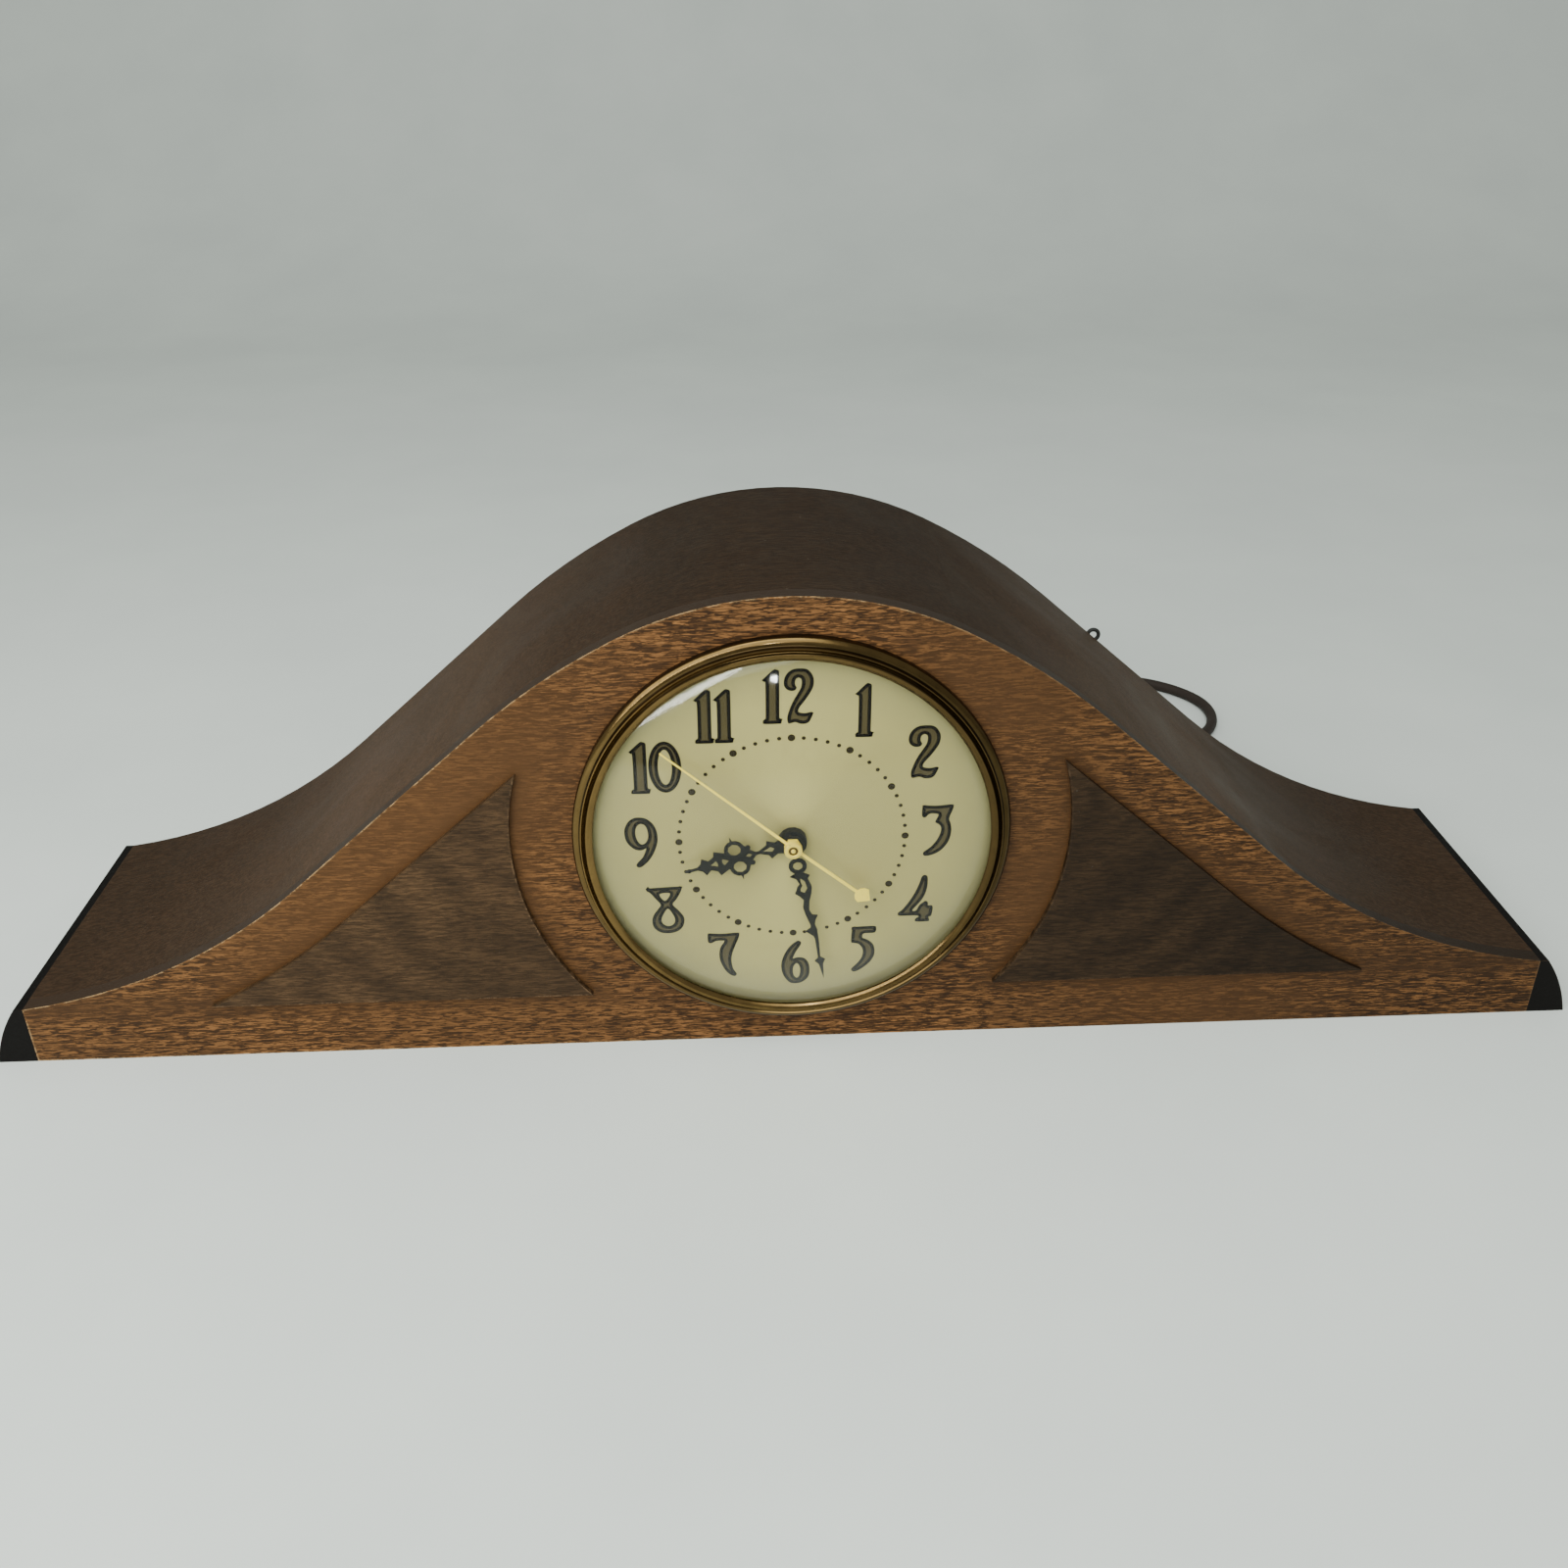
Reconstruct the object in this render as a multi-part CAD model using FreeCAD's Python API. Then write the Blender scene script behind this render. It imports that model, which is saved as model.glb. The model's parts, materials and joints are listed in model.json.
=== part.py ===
import FreeCAD, Part
import math
import os

# A humped mantel clock with a synchronous motor and a chime on rods.
# Millimetres. +X is to the viewer's right, +Y runs from the dial to the back, +Z is up.
# The origin is on the underside of the base, at the middle of its length and depth.

# Case outline
case_depth = 108.0
body_half_length = 262.0
crown_height = 164.8
end_height = 22.0
crown_turn = 26.7
end_slope = 7.9
crown_radius_share = 0.3825
shoulder_radius_share = 0.734
foot_radius_share = 0.618

# Case boards
front_thickness = 12.0
rabbet_width = 6.0
cover_thickness = 5.0
base_thickness = 12.0
back_thickness = 9.0
back_inset = 3.5
batten_length = 34.0
glue_block_side = 13.0
glue_block_length = 46.0
glue_block_place = 190.0

# End blocks
block_width = 13.4
block_flat = 3.0
block_swell = 1.3

# Raised overlays on the front
overlay_thickness = 2.0
overlay_margin = 18.6
overlay_foot = 22.0
overlay_arc_radius = 91.0

# Dial, bezel and glass
dial_height = 81.7
board_aperture = 28.0
bezel_radius = 71.0
bezel_bore = 66.05
bezel_lip_radius = 64.2
bezel_lip = 0.2
bezel_crest = 5.7
bezel_crest_radius = 68.2
bezel_wall = 1.8
dial_thickness = 1.6
seat_clearance = 0.05
glass_thickness = 1.8
glass_rise = 15.5
glass_ring_shares = (0.6, 0.85, 1.0)
glass_crown_share = 0.2
glass_sides = 36
dial_hole_radius = 3.5
tab_count = 3
tab_radius = 68.0
tab_metal = 0.6
tab_width = 6.0
tab_foot = 4.0
tab_clearance = 0.2

# Hands, their heights measured from the dial's face
hour_angle = 254.4
minute_angle = 168.9
second_angle = 309.8
hour_length = 36.6
minute_length = 53.6
second_length = 53.6
second_tail = 32.6
hour_level = 3.2
minute_level = 4.6
second_level = 6.1
hub_level = 7.7
hand_metal = 0.4
hour_boss_radius = 4.65
hour_boss_gap = 0.4
minute_hub_radius = 3.7
second_hub_radius = 2.75
second_width = 1.0
second_tip_width = 0.5
second_dip = 2.4
hub_sides = 14
bob_width = 5.8
bob_facets = 6
hand_nut_radius = 2.9
hand_nut_height = 0.8
nut_sides = 6

# Small turned parts, drawn with flat facets, and their running clearance
turned_sides = 8
run_clearance = 0.06
second_arbor_radius = 0.9
minute_tube_radius = 1.9
hour_tube_radius = 3.0
slim_arbor_radius = 0.9
stud_radius = 1.2
stud_head_radius = 1.9
stud_head = 0.6
set_arbor_radius = 1.5
drum_arbor_radius = 1.5
hammer_arbor_radius = 1.0
pivot_reach = 0.8

# Screws
screw_radius = 1.6
screw_head_radius = 3.0
screw_head_height = 1.6
screw_bite = 8.0
panel_screw_bite = 6.0
panel_screw_inset = 3.5
panel_screw_shares = (-0.93, -0.35, 0.35, 0.93)

# Movement plates
plate_thickness = 1.5
plate_gap = 30.5
plate_half_width = 58.0
plate_bottom = 33.0
plate_top = 125.0
plate_corner = 6.0
plate_stand_off = 4.0
pillar_radius = 3.0
pillar_across = 46.0
pillar_low = 46.0
pillar_high = 110.0
odd_pillar_across = 12.0
odd_pillar_height = 40.0
movement_screw_across = 53.0
movement_screw_low = 38.0
movement_screw_high = 120.0
spacer_radius = 3.6

# Gearing
tooth_pressure_angle = 25.0
tooth_play = 0.08
wheel_tip_share = 0.7
pinion_tip_share = 0.9
root_share = 1.15
motion_module = 0.75
hour_module = 0.6
train_module = 0.66
chime_module = 0.7
cannon_teeth = 8
minute_wheel_teeth = 24
minute_pinion_teeth = 8
hour_wheel_teeth = 32
set_teeth = 8
seconds_pinion_teeth = 6
third_wheel_teeth = 48
third_pinion_teeth = 6
centre_wheel_teeth = 45
drum_wheel_teeth = 32
fly_teeth = 8
wheel_metal = 1.2
pinion_overlap = 0.6
minute_stud_angle = 60.0
set_arbor_angle = 10.0
third_angle = 135.0
spoke_count = 4
spoke_width = 2.4
window_outer_share = 0.8
window_inner_share = 0.36
clutch_radius = 5.0
clutch_metal = 0.5

# Places along the depth, each measured back from the piece named first
hour_wheel_behind_dial = 4.6
cannon_before_plate = 4.6
centre_wheel_behind_plate = 1.3
third_wheel_behind_plate = 8.5
tube_behind_plate = 6.1

# Motor
can_radius = 14.0
can_sides = 20
can_flange_radius = 15.0
can_flange = 2.0
can_depth = 26.0
can_clearance = 0.3
core_depth = 12.0
core_stand_off = 9.0
core_above = 19.0
core_below = 41.0
core_half_width = 14.5
core_limb = 8.0
core_window_half_width = 8.6
core_window_edge = 17.0
core_post_radius = 2.5
core_post_inset = 4.0
winding = 6.0
winding_chamfer = 2.0

# Chime
drum_across = 27.0
drum_height = 53.0
drum_radius = 10.0
drum_pin_height = 1.6
drum_pin_side = 0.9
drum_end_margin = 3.0
track_count = 4
track_spacing = 6.0
track_first = 5.5
drum_pins_per_track = 5
drum_pin_step_share = 0.17
track_phase_share = 0.043
drum_wheel_before_back = 2.2
fly_angle = 60.0
fly_half_span = 9.0
fly_metal = 0.5
fly_depth = 8.0
fly_clearance = 2.0
drum_sides = 16
hammer_pivot_angle = -30.0
hammer_pivot_distance = 22.0
hammer_tail_gap = 0.4
hammer_hub_radius = 2.4
hammer_hub_length = 5.0
hammer_arm_radius = 0.9
hammer_arm_length = 46.0
hammer_tail_metal = 0.8
hammer_head_radius = 2.5
hammer_head_above = 2.6
hammer_head_below = 8.4
hammer_tip_radius = 1.3
hammer_tip_length = 3.0
hammer_rod_gap = 1.0
collar_radius = 2.0
rod_radius = 1.5
rod_longest = 212.0
rod_step = 15.0
rod_seat = 14.0
rod_block_front = 28.0
rod_block_length = 22.0
rod_block_rise = 8.0
rod_block_margin = 7.0
rod_block_flange = 11.0
rod_block_flange_height = 5.0

# Back panel and what comes through it
opening_margin = 40.0
opening_foot = 30.0
panel_lap = 7.0
panel_thickness = 2.5
slot_count = 6
slot_pitch = 9.0
slot_width = 4.0
slot_length = 26.0
slot_first = 24.0
slot_middle = 64.0
knob_radius = 9.0
knob_depth = 9.0
knob_gap = 2.0
knob_flutes = 12
knob_flute_depth = 0.9
knob_hole_radius = 4.0
gland_across = 70.0
gland_height = 40.0
gland_sides = 12
gland_radius = 7.0
gland_neck_radius = 5.0
gland_flange = 1.6
gland_nose = 4.0

# Chime silence lever
lever_across = 104.0
lever_height = 86.0
lever_loop_across = 121.8
lever_loop_height = 102.5
lever_wire_radius = 0.75
lever_loop_radius = 2.35
lever_loop_start = -90.0
lever_loop_turn = 310.0
lever_loop_facets = 12
lever_stand_off = 6.2
lever_boss_radius = 3.2
lever_finger = 14.0
lever_finger_gap = 4.0

# Power cord, its coil and its plug
cord_radius = 2.5
cord_sides = 4
cord_run_share = 0.45
cord_rest = 2.6
coil_centre = (74.0, 193.9)
coil_radius = 35.6
coil_pitch = 5.6
coil_layer = 5.6
coil_turns = 2
coil_lead = 27.0
arcs_per_turn = 4
plug_lead = 22.0
plug_length = 27.0
plug_width = 24.0
plug_height = 14.0
plug_chamfer = 3.0
plug_neck_radius = 4.0
plug_neck_length = 9.0
blade_length = 16.0
blade_width = 6.3
blade_metal = 1.5
blade_spacing = 12.7

# The cord's points between the gland and the coil, as it lies behind the case
cord_route = [
    (70.0, 77.0, 40.0),
    (75.0, 99.0, 28.0),
    (93.0, 120.0, 8.0),
    (123.0, 137.0, 2.6),
    (158.0, 146.0, 2.6),
    (192.0, 151.0, 2.6),
    (217.0, 169.0, 2.6),
    (222.0, 199.0, 2.6),
    (202.0, 224.0, 2.6),
    (170.0, 233.0, 2.6),
    (140.0, 235.0, 2.6),
]

# Hand outlines, each point across and along as a share of the hand's length
hour_edge_shares = [
    (0.070, 0.105), (0.056, 0.150), (0.092, 0.216), (0.050, 0.232), (0.014, 0.306), (0.015, 0.338),
    (0.056, 0.385), (0.110, 0.420), (0.120, 0.560), (0.084, 0.610), (0.124, 0.695), (0.074, 0.712),
    (0.046, 0.765), (0.086, 0.818), (0.038, 0.840), (0.013, 0.880), (0.012, 0.935), (0.021, 0.957),
    (0.0, 1.0),
]
hour_leaf_hole_shares = [(0.0, 0.166), (0.028, 0.196), (0.012, 0.240), (0.0, 0.283)]
hour_cross_hole_shares = [(0.0, 0.368), (0.021, 0.400), (0.0, 0.436)]
hour_vee_hole_shares = [(0.0, 0.652), (0.036, 0.638), (0.0, 0.583)]
hour_crown_hole_shares = [(0.0, 0.690), (0.034, 0.700), (0.018, 0.722), (0.0, 0.765)]
hour_ring_place_share = (0.090, 0.511)
hour_ring_radius_share = 0.092
hour_ring_hole_share = 0.055
hour_ring_spur_share = (0.228, 0.517)
hour_spur_width_share = 0.030
hour_ball_place_share = (0.080, 0.391)
hour_ball_radius_share = 0.025

minute_edge_shares = [
    (0.000, 0.060), (-0.020, 0.090), (-0.024, 0.200), (-0.058, 0.226), (-0.042, 0.245), (-0.055, 0.312),
    (-0.042, 0.360), (-0.021, 0.407), (-0.006, 0.476), (-0.018, 0.512), (-0.050, 0.522), (-0.031, 0.552),
    (-0.020, 0.584), (-0.026, 0.627), (-0.022, 0.701), (-0.006, 0.834), (-0.031, 0.858), (-0.013, 0.888),
    (-0.006, 0.940), (0.004, 1.000), (0.009, 0.950), (0.014, 0.886), (0.034, 0.857), (0.010, 0.838),
    (0.001, 0.696), (0.005, 0.670), (0.046, 0.625), (0.012, 0.606), (0.007, 0.588), (0.022, 0.506),
    (0.028, 0.448), (0.012, 0.395), (0.034, 0.360), (0.056, 0.338), (0.042, 0.318), (0.036, 0.300),
    (0.014, 0.278), (0.028, 0.236), (0.062, 0.213), (0.026, 0.196), (0.020, 0.090),
]
minute_hole_shares = [
    (0.002, 0.236), (-0.020, 0.262), (-0.025, 0.318), (-0.003, 0.347), (0.018, 0.332),
    (0.016, 0.312), (0.001, 0.290), (0.006, 0.262),
]
minute_ring_place_share = 0.147
minute_ring_radius_share = 0.056
minute_ring_hole_share = 0.028

# One overrun for every cut that has to pass right through
overrun = 1.0


def vec(x, y, z):
    return FreeCAD.Vector(x, y, z)


def beside(x, z, distance, degrees):
    """The point at a distance and an angle from (x, z), the angle counted up from +X."""
    angle = math.radians(degrees)
    return x + distance * math.cos(angle), z + distance * math.sin(angle)


def box(x0, x1, y0, y1, z0, z1):
    return Part.makeBox(x1 - x0, y1 - y0, z1 - z0, vec(x0, y0, z0))


def line(a, b):
    return Part.makeLine(vec(a[0], 0, a[1]), vec(b[0], 0, b[1]))


def polygon(points):
    return [line(a, b) for a, b in zip(points, points[1:] + points[:1])]


def slab(edges, y0, y1):
    """A closed outline drawn in the XZ plane at y = 0, as a solid from y0 to y1."""
    face = Part.Face(Part.Wire(Part.__sortEdges__(edges)))
    face.translate(vec(0, y0, 0))
    return face.extrude(vec(0, y1 - y0, 0))


def rod(radius, x, z, y0, y1):
    """A round rod along Y."""
    return Part.makeCylinder(radius, y1 - y0, vec(x, y0, z), vec(0, 1, 0))


def prism(radius, x, z, y0, y1, sides):
    """A many-sided rod along Y with its corners on the circle."""
    return slab(polygon([beside(x, z, radius, 360 * i / sides) for i in range(sides)]), y0, y1)


def shaft(radius, x, z, y0, y1):
    """A small turned piece along Y: it lies inside its circle, and its bore outside the same one."""
    return prism(radius, x, z, y0, y1, turned_sides)


def bore(radius, x, z, y0, y1):
    return prism(radius / math.cos(math.pi / turned_sides), x, z, y0, y1, turned_sides)


def pierced(shape, radius, x, z, y0, y1):
    """The shape with a small hole right through it."""
    return shape.cut(bore(radius, x, z, y0 - overrun, y1 + overrun))


def sleeve(outer, inner, x, z, y0, y1):
    return pierced(shaft(outer, x, z, y0, y1), inner, x, z, y0, y1)


def turned_to(shape, x, y, z, axis):
    """A piece made along +Y from the origin, laid along another axis from a point."""
    shape.rotate(vec(0, 0, 0), vec(0, 1, 0).cross(axis), math.degrees(vec(0, 1, 0).getAngle(axis)))
    shape.translate(vec(x, y, z))
    return shape


def upright(radius, x, y, z0, z1):
    """A small turned piece along Z."""
    return turned_to(shaft(radius, 0, 0, 0, z1 - z0), x, y, z0, vec(0, 0, 1))


def lengthwise(radius, x0, x1, y, z):
    """A small turned piece along X."""
    return turned_to(shaft(radius, 0, 0, 0, x1 - x0), x0, y, z, vec(1, 0, 0))


def arc_about(centre, radius, start, stop):
    """An arc in the XZ plane, with its angles in radians counted from +Z towards +X."""
    turns = (start, (start + stop) / 2, stop)
    points = [vec(centre[0] + radius * math.sin(t), 0, centre[1] + radius * math.cos(t)) for t in turns]
    return Part.Arc(*points).toShape()


def joined(shapes):
    """One solid made of several that touch or overlap."""
    return shapes[0].multiFuse(shapes[1:]).removeSplitter()


def group(shapes):
    return Part.makeCompound(shapes)


# Values that follow from the driving dimensions
front_face = -case_depth / 2
rear_edge = case_depth / 2
cover_front = front_face + front_thickness - rabbet_width
board_back = front_face + front_thickness
back_rear = rear_edge - back_inset
back_front = back_rear - back_thickness
panel_rear = back_rear + panel_thickness
gland_end = panel_rear + gland_flange + gland_nose
dial_front = front_face - dial_thickness
glass_front = dial_front - glass_thickness
front_plate = board_back + plate_stand_off
front_plate_rear = front_plate + plate_thickness
back_plate = front_plate_rear + plate_gap
back_plate_rear = back_plate + plate_thickness
motion_distance = motion_module * (cannon_teeth + minute_wheel_teeth) / 2
set_distance = motion_module * (set_teeth + minute_wheel_teeth) / 2
third_distance = train_module * (seconds_pinion_teeth + third_wheel_teeth) / 2
centre_module = 2 * third_distance / (third_pinion_teeth + centre_wheel_teeth)
fly_distance = chime_module * (fly_teeth + drum_wheel_teeth) / 2
cannon_front = front_plate - cannon_before_plate
pinion_metal = wheel_metal + 2 * pinion_overlap
minute_wheel_front = cannon_front + pinion_overlap
hour_wheel_front = front_face + hour_wheel_behind_dial
centre_wheel_front = front_plate_rear + centre_wheel_behind_plate
third_wheel_front = front_plate_rear + third_wheel_behind_plate
drum_wheel_front = back_plate - drum_wheel_before_back - wheel_metal
minute_stud_place = beside(0, dial_height, motion_distance, minute_stud_angle)
set_place = beside(*minute_stud_place, set_distance, set_arbor_angle)
third_place = beside(0, dial_height, third_distance, third_angle)
drum_place = (drum_across, drum_height)
fly_place = beside(*drum_place, fly_distance, fly_angle)
hammer_place = beside(*drum_place, hammer_pivot_distance, hammer_pivot_angle)
track_places = [front_plate_rear + track_first + track_spacing * i for i in range(track_count)]
track_middle = (track_places[0] + track_places[-1]) / 2
head_across = hammer_place[0] + hammer_arm_length
head_foot = hammer_place[1] - hammer_head_below
rod_height = head_foot - hammer_tip_length - hammer_rod_gap - rod_radius
rod_block_left = head_across + rod_block_front
rod_block_right = rod_block_left + rod_block_length
motor_front = back_plate_rear
core_front = back_plate_rear + core_stand_off


# Case outline: a crown arc, a wider shoulder arc, a straight flank and a hollow foot
def outline_edges(margin):
    """The hump from end to end, drawn inside the case's outline by the margin."""
    drop = crown_height - end_height
    sweep = (body_half_length ** 2 + drop ** 2) / (2 * drop)
    crown = crown_radius_share * sweep
    shoulder = shoulder_radius_share * sweep
    foot = foot_radius_share * sweep
    turn = math.radians(crown_turn)
    tail = math.radians(end_slope)
    crown_centre = (0, crown_height - crown)
    shoulder_centre = ((crown - shoulder) * math.sin(turn),
                       crown_centre[1] + (crown - shoulder) * math.cos(turn))
    foot_centre = (body_half_length + foot * math.sin(tail), end_height + foot * math.cos(tail))
    span_x = foot_centre[0] - shoulder_centre[0]
    span_z = foot_centre[1] - shoulder_centre[1]
    reach = math.hypot(span_x, span_z)
    flank = math.sqrt(reach ** 2 - (shoulder + foot) ** 2)
    slope = math.atan2(span_x, span_z) - math.atan2(flank, shoulder + foot)
    stop = math.asin((foot_centre[0] - body_half_length) / (foot + margin))
    over = arc_about(shoulder_centre, shoulder - margin, turn, slope)
    under = arc_about(foot_centre, -(foot + margin), slope, stop)
    straight = Part.makeLine(over.Vertexes[1].Point, under.Vertexes[0].Point)
    right = [over, straight, under]
    left = [edge.mirror(vec(0, 0, 0), vec(1, 0, 0)) for edge in right]
    return left + [arc_about(crown_centre, crown - margin, -turn, turn)] + right


def under_outline(margin, y0, y1):
    """Everything under the hump down to z = 0, drawn inside by the margin."""
    hump = outline_edges(margin)
    shoulder = min(vertex.Point.z for vertex in hump[-1].Vertexes)
    left = (-body_half_length, shoulder)
    right = (body_half_length, shoulder)
    left_foot = (-body_half_length, 0)
    right_foot = (body_half_length, 0)
    floor = [line(left, left_foot), line(left_foot, right_foot), line(right_foot, right)]
    return slab(hump + floor, y0, y1)


def make_front_board():
    """The shaped front, rabbeted behind its edge for the bent cover."""
    face = under_outline(0, front_face, cover_front)
    board = face.fuse(under_outline(cover_thickness, cover_front, board_back)).removeSplitter()
    board = board.cut(rod(board_aperture, 0, dial_height, front_face - overrun, board_back + overrun))
    for slot in bezel_tabs(tab_clearance):
        board = board.cut(slot)
    for x, z in movement_screw_places():
        board = board.cut(bore(screw_radius, x, z, board_back - screw_bite, board_back + overrun))
    return board


def make_cover():
    inside = under_outline(cover_thickness, cover_front - overrun, rear_edge + overrun)
    return under_outline(0, cover_front, rear_edge).cut(inside)


def make_base_board():
    board = box(-body_half_length, body_half_length, board_back, rear_edge, 0, base_thickness)
    for x in block_screw_places():
        board = board.cut(upright(screw_radius, x, track_middle, base_thickness - screw_bite,
                                  base_thickness + overrun))
    return board


def make_glue_blocks():
    """Wedges under the cover's two ends, and blocks in the angles between base, front and back."""
    inside = under_outline(cover_thickness + seat_clearance, board_back, back_front)
    blocks = []
    for side in (-1, 1):
        start, stop = sorted((side * body_half_length, side * (body_half_length - batten_length)))
        blocks.append(inside.common(box(start, stop, board_back, back_front, base_thickness, crown_height)))
        for wall, way in ((board_back, 1), (back_front, -1)):
            corner = vec(side * glue_block_place - glue_block_length / 2, wall, base_thickness)
            face = Part.Face(Part.makePolygon([
                corner, corner + vec(0, way * glue_block_side, 0), corner + vec(0, 0, glue_block_side), corner]))
            blocks.append(face.extrude(vec(glue_block_length, 0, 0)))
    return group(blocks)


def make_end_block(side):
    """The black block at one end: flat on top, then rounded over down to the table."""
    shoulder = (body_half_length + block_flat, end_height)
    toe = (body_half_length + block_width, 0)
    corner = (body_half_length, 0)
    run = (toe[0] - shoulder[0], toe[1] - shoulder[1])
    swell = block_swell / math.hypot(*run)
    middle = ((shoulder[0] + toe[0]) / 2 - swell * run[1], (shoulder[1] + toe[1]) / 2 + swell * run[0])
    curve = Part.Arc(*[vec(p[0], 0, p[1]) for p in (shoulder, middle, toe)]).toShape()
    top = (body_half_length, end_height)
    block = slab([line(corner, top), line(top, shoulder), curve, line(toe, corner)], front_face, rear_edge)
    if side < 0:
        block = block.mirror(vec(0, 0, 0), vec(1, 0, 0))
    return block


def make_overlay(side):
    """A raised panel that follows the flank, the foot and a circle round the dial."""
    front = front_face - overlay_thickness
    field = under_outline(overlay_margin, front, front_face)
    field = field.common(box(0, body_half_length, front, front_face, overlay_foot, crown_height))
    field = field.cut(rod(overlay_arc_radius, 0, dial_height, front - overrun, front_face + overrun))
    panel = max(field.Solids, key=lambda solid: solid.Volume)
    if side < 0:
        panel = panel.mirror(vec(0, 0, 0), vec(1, 0, 0))
    return panel


# Dial, bezel and glass
def spun(points):
    """A ring about the dial's axis, from its profile of radius and distance before the wood."""
    places = [vec(radius, front_face - proud, 0) for radius, proud in points]
    ring = Part.Face(Part.makePolygon(places + places[:1])).revolve(vec(0, 0, 0), vec(0, 1, 0), 360)
    ring.translate(vec(0, 0, dial_height))
    return ring


def bezel_tabs(clearance):
    """Strips through the front board, bent outwards behind it."""
    start = front_face - clearance
    stop = board_back + tab_metal
    half = tab_width / 2 + clearance
    tabs = []
    for i in range(tab_count):
        strip = box(tab_radius - clearance, tab_radius + tab_metal + clearance, start, stop, -half, half)
        foot = box(tab_radius, tab_radius + tab_foot, board_back, stop, -half, half)
        tab = strip.fuse(foot).removeSplitter()
        tab.rotate(vec(0, 0, 0), vec(0, 1, 0), 360 * i / tab_count)
        tab.translate(vec(0, 0, dial_height))
        tabs.append(tab)
    return tabs


def make_bezel():
    """A spun brass ring whose bent lip holds the glass and the dial, with its fixing tabs."""
    seat = front_face - glass_front + seat_clearance
    lean = glass_lean() * (bezel_bore - bezel_lip_radius)
    lip = (bezel_lip_radius, seat + lean + bezel_lip)
    ring = spun([(bezel_bore, 0), (bezel_bore, seat), lip, (bezel_crest_radius, bezel_crest),
                 (bezel_radius, bezel_wall), (bezel_radius, 0)])
    return joined([ring] + bezel_tabs(0))


def dome_points(seat, thickness):
    """The dome's profile of radius and distance before the wood, from its flat crown to its edge."""
    edge = bezel_bore - seat_clearance
    sphere = (edge ** 2 + glass_rise ** 2) / (2 * glass_rise)
    level = seat + thickness + glass_rise
    rings = [(share * edge, level - sphere + math.sqrt(sphere ** 2 - (share * edge) ** 2))
             for share in glass_ring_shares]
    return [(glass_crown_share * edge, level)] + rings


def glass_lean():
    """How steeply the glass rises from its edge."""
    points = dome_points(0, 0)
    return (points[-2][1] - points[-1][1]) / (points[-1][0] - points[-2][0])


def faceted_dome(seat, thickness):
    """A solid dome with flat facets, from the dial's edge up to the outer or the inner face."""
    turns = [2 * math.pi * i / glass_sides for i in range(glass_sides + 1)]
    rings = []
    for radius, proud in dome_points(seat, thickness)[::-1]:
        rings.append([vec(radius * math.cos(t), front_face - proud, dial_height + radius * math.sin(t))
                      for t in turns[:-1]])
    faces = [Part.Face(Part.makePolygon(rings[0] + rings[0][:1]))]
    for low, high in zip(rings, rings[1:]):
        for i in range(glass_sides):
            j = (i + 1) % glass_sides
            faces.append(Part.Face(Part.makePolygon([low[i], low[j], high[j], high[i], low[i]])))
    faces.append(Part.Face(Part.makePolygon(rings[-1] + rings[-1][:1])))
    return Part.Solid(Part.Shell(faces))


def make_glass():
    """The domed glass, its edge held between the dial and the bezel's lip."""
    seat = front_face - dial_front
    edge = prism(bezel_bore - seat_clearance, 0, dial_height, dial_front - glass_thickness, dial_front,
                 glass_sides)
    return edge.fuse(faceted_dome(seat, glass_thickness)).cut(faceted_dome(seat, 0)).removeSplitter()


def make_dial():
    dial = rod(bezel_bore - seat_clearance, 0, dial_height, dial_front, front_face)
    return pierced(dial, dial_hole_radius, 0, dial_height, dial_front, front_face)


# Hands, drawn pointing up at the dial's centre and then turned clockwise
def mirrored(points):
    return [(-x, z) for x, z in points]


def both_sides(shares):
    """A closed outline from its right half, whose last point, and perhaps its first, is on the middle."""
    left = mirrored(shares[-2::-1])
    return shares + [point for point in left if point[0] < 0]


def scaled(points, length):
    return [(x * length, z * length) for x, z in points]


def plate_of(shares, length, y0, y1):
    return slab(polygon(scaled(shares, length)), y0, y1)


def set_hand(shape, angle):
    shape.rotate(vec(0, 0, 0), vec(0, 1, 0), angle)
    shape.translate(vec(0, 0, dial_height))
    return shape


def make_hour_hand():
    """A pierced hand: a leaf, a cross with two balls, two rings, a crown and a tip."""
    front = dial_front - hour_level
    rear = front + hand_metal
    size = hour_length
    ring_x, ring_z = hour_ring_place_share
    ball_x, ball_z = hour_ball_place_share
    spur_x, spur_z = hour_ring_spur_share
    half = hour_spur_width_share
    parts = [plate_of(both_sides(hour_edge_shares), size, front, rear),
             prism(hour_boss_radius, 0, 0, front, dial_front - hour_boss_gap, hub_sides)]
    for side in (-1, 1):
        ring_place = (side * ring_x * size, ring_z * size)
        parts.append(prism(hour_ring_radius_share * size, *ring_place, front, rear, hub_sides))
        parts.append(shaft(hour_ball_radius_share * size, side * ball_x * size, ball_z * size, front, rear))
        spur = [(side * ring_x, ring_z - half), (side * spur_x, spur_z), (side * ring_x, ring_z + half)]
        parts.append(plate_of(spur, size, front, rear))
    hand = joined(parts)
    for hole in (hour_leaf_hole_shares, hour_cross_hole_shares, hour_vee_hole_shares, hour_crown_hole_shares):
        hand = hand.cut(plate_of(both_sides(hole), size, front - overrun, rear + overrun))
    for side in (-1, 1):
        hand = pierced(hand, hour_ring_hole_share * size, side * ring_x * size, ring_z * size, front, rear)
    return set_hand(pierced(hand, hour_tube_radius, 0, 0, front, dial_front), hour_angle)


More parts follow.
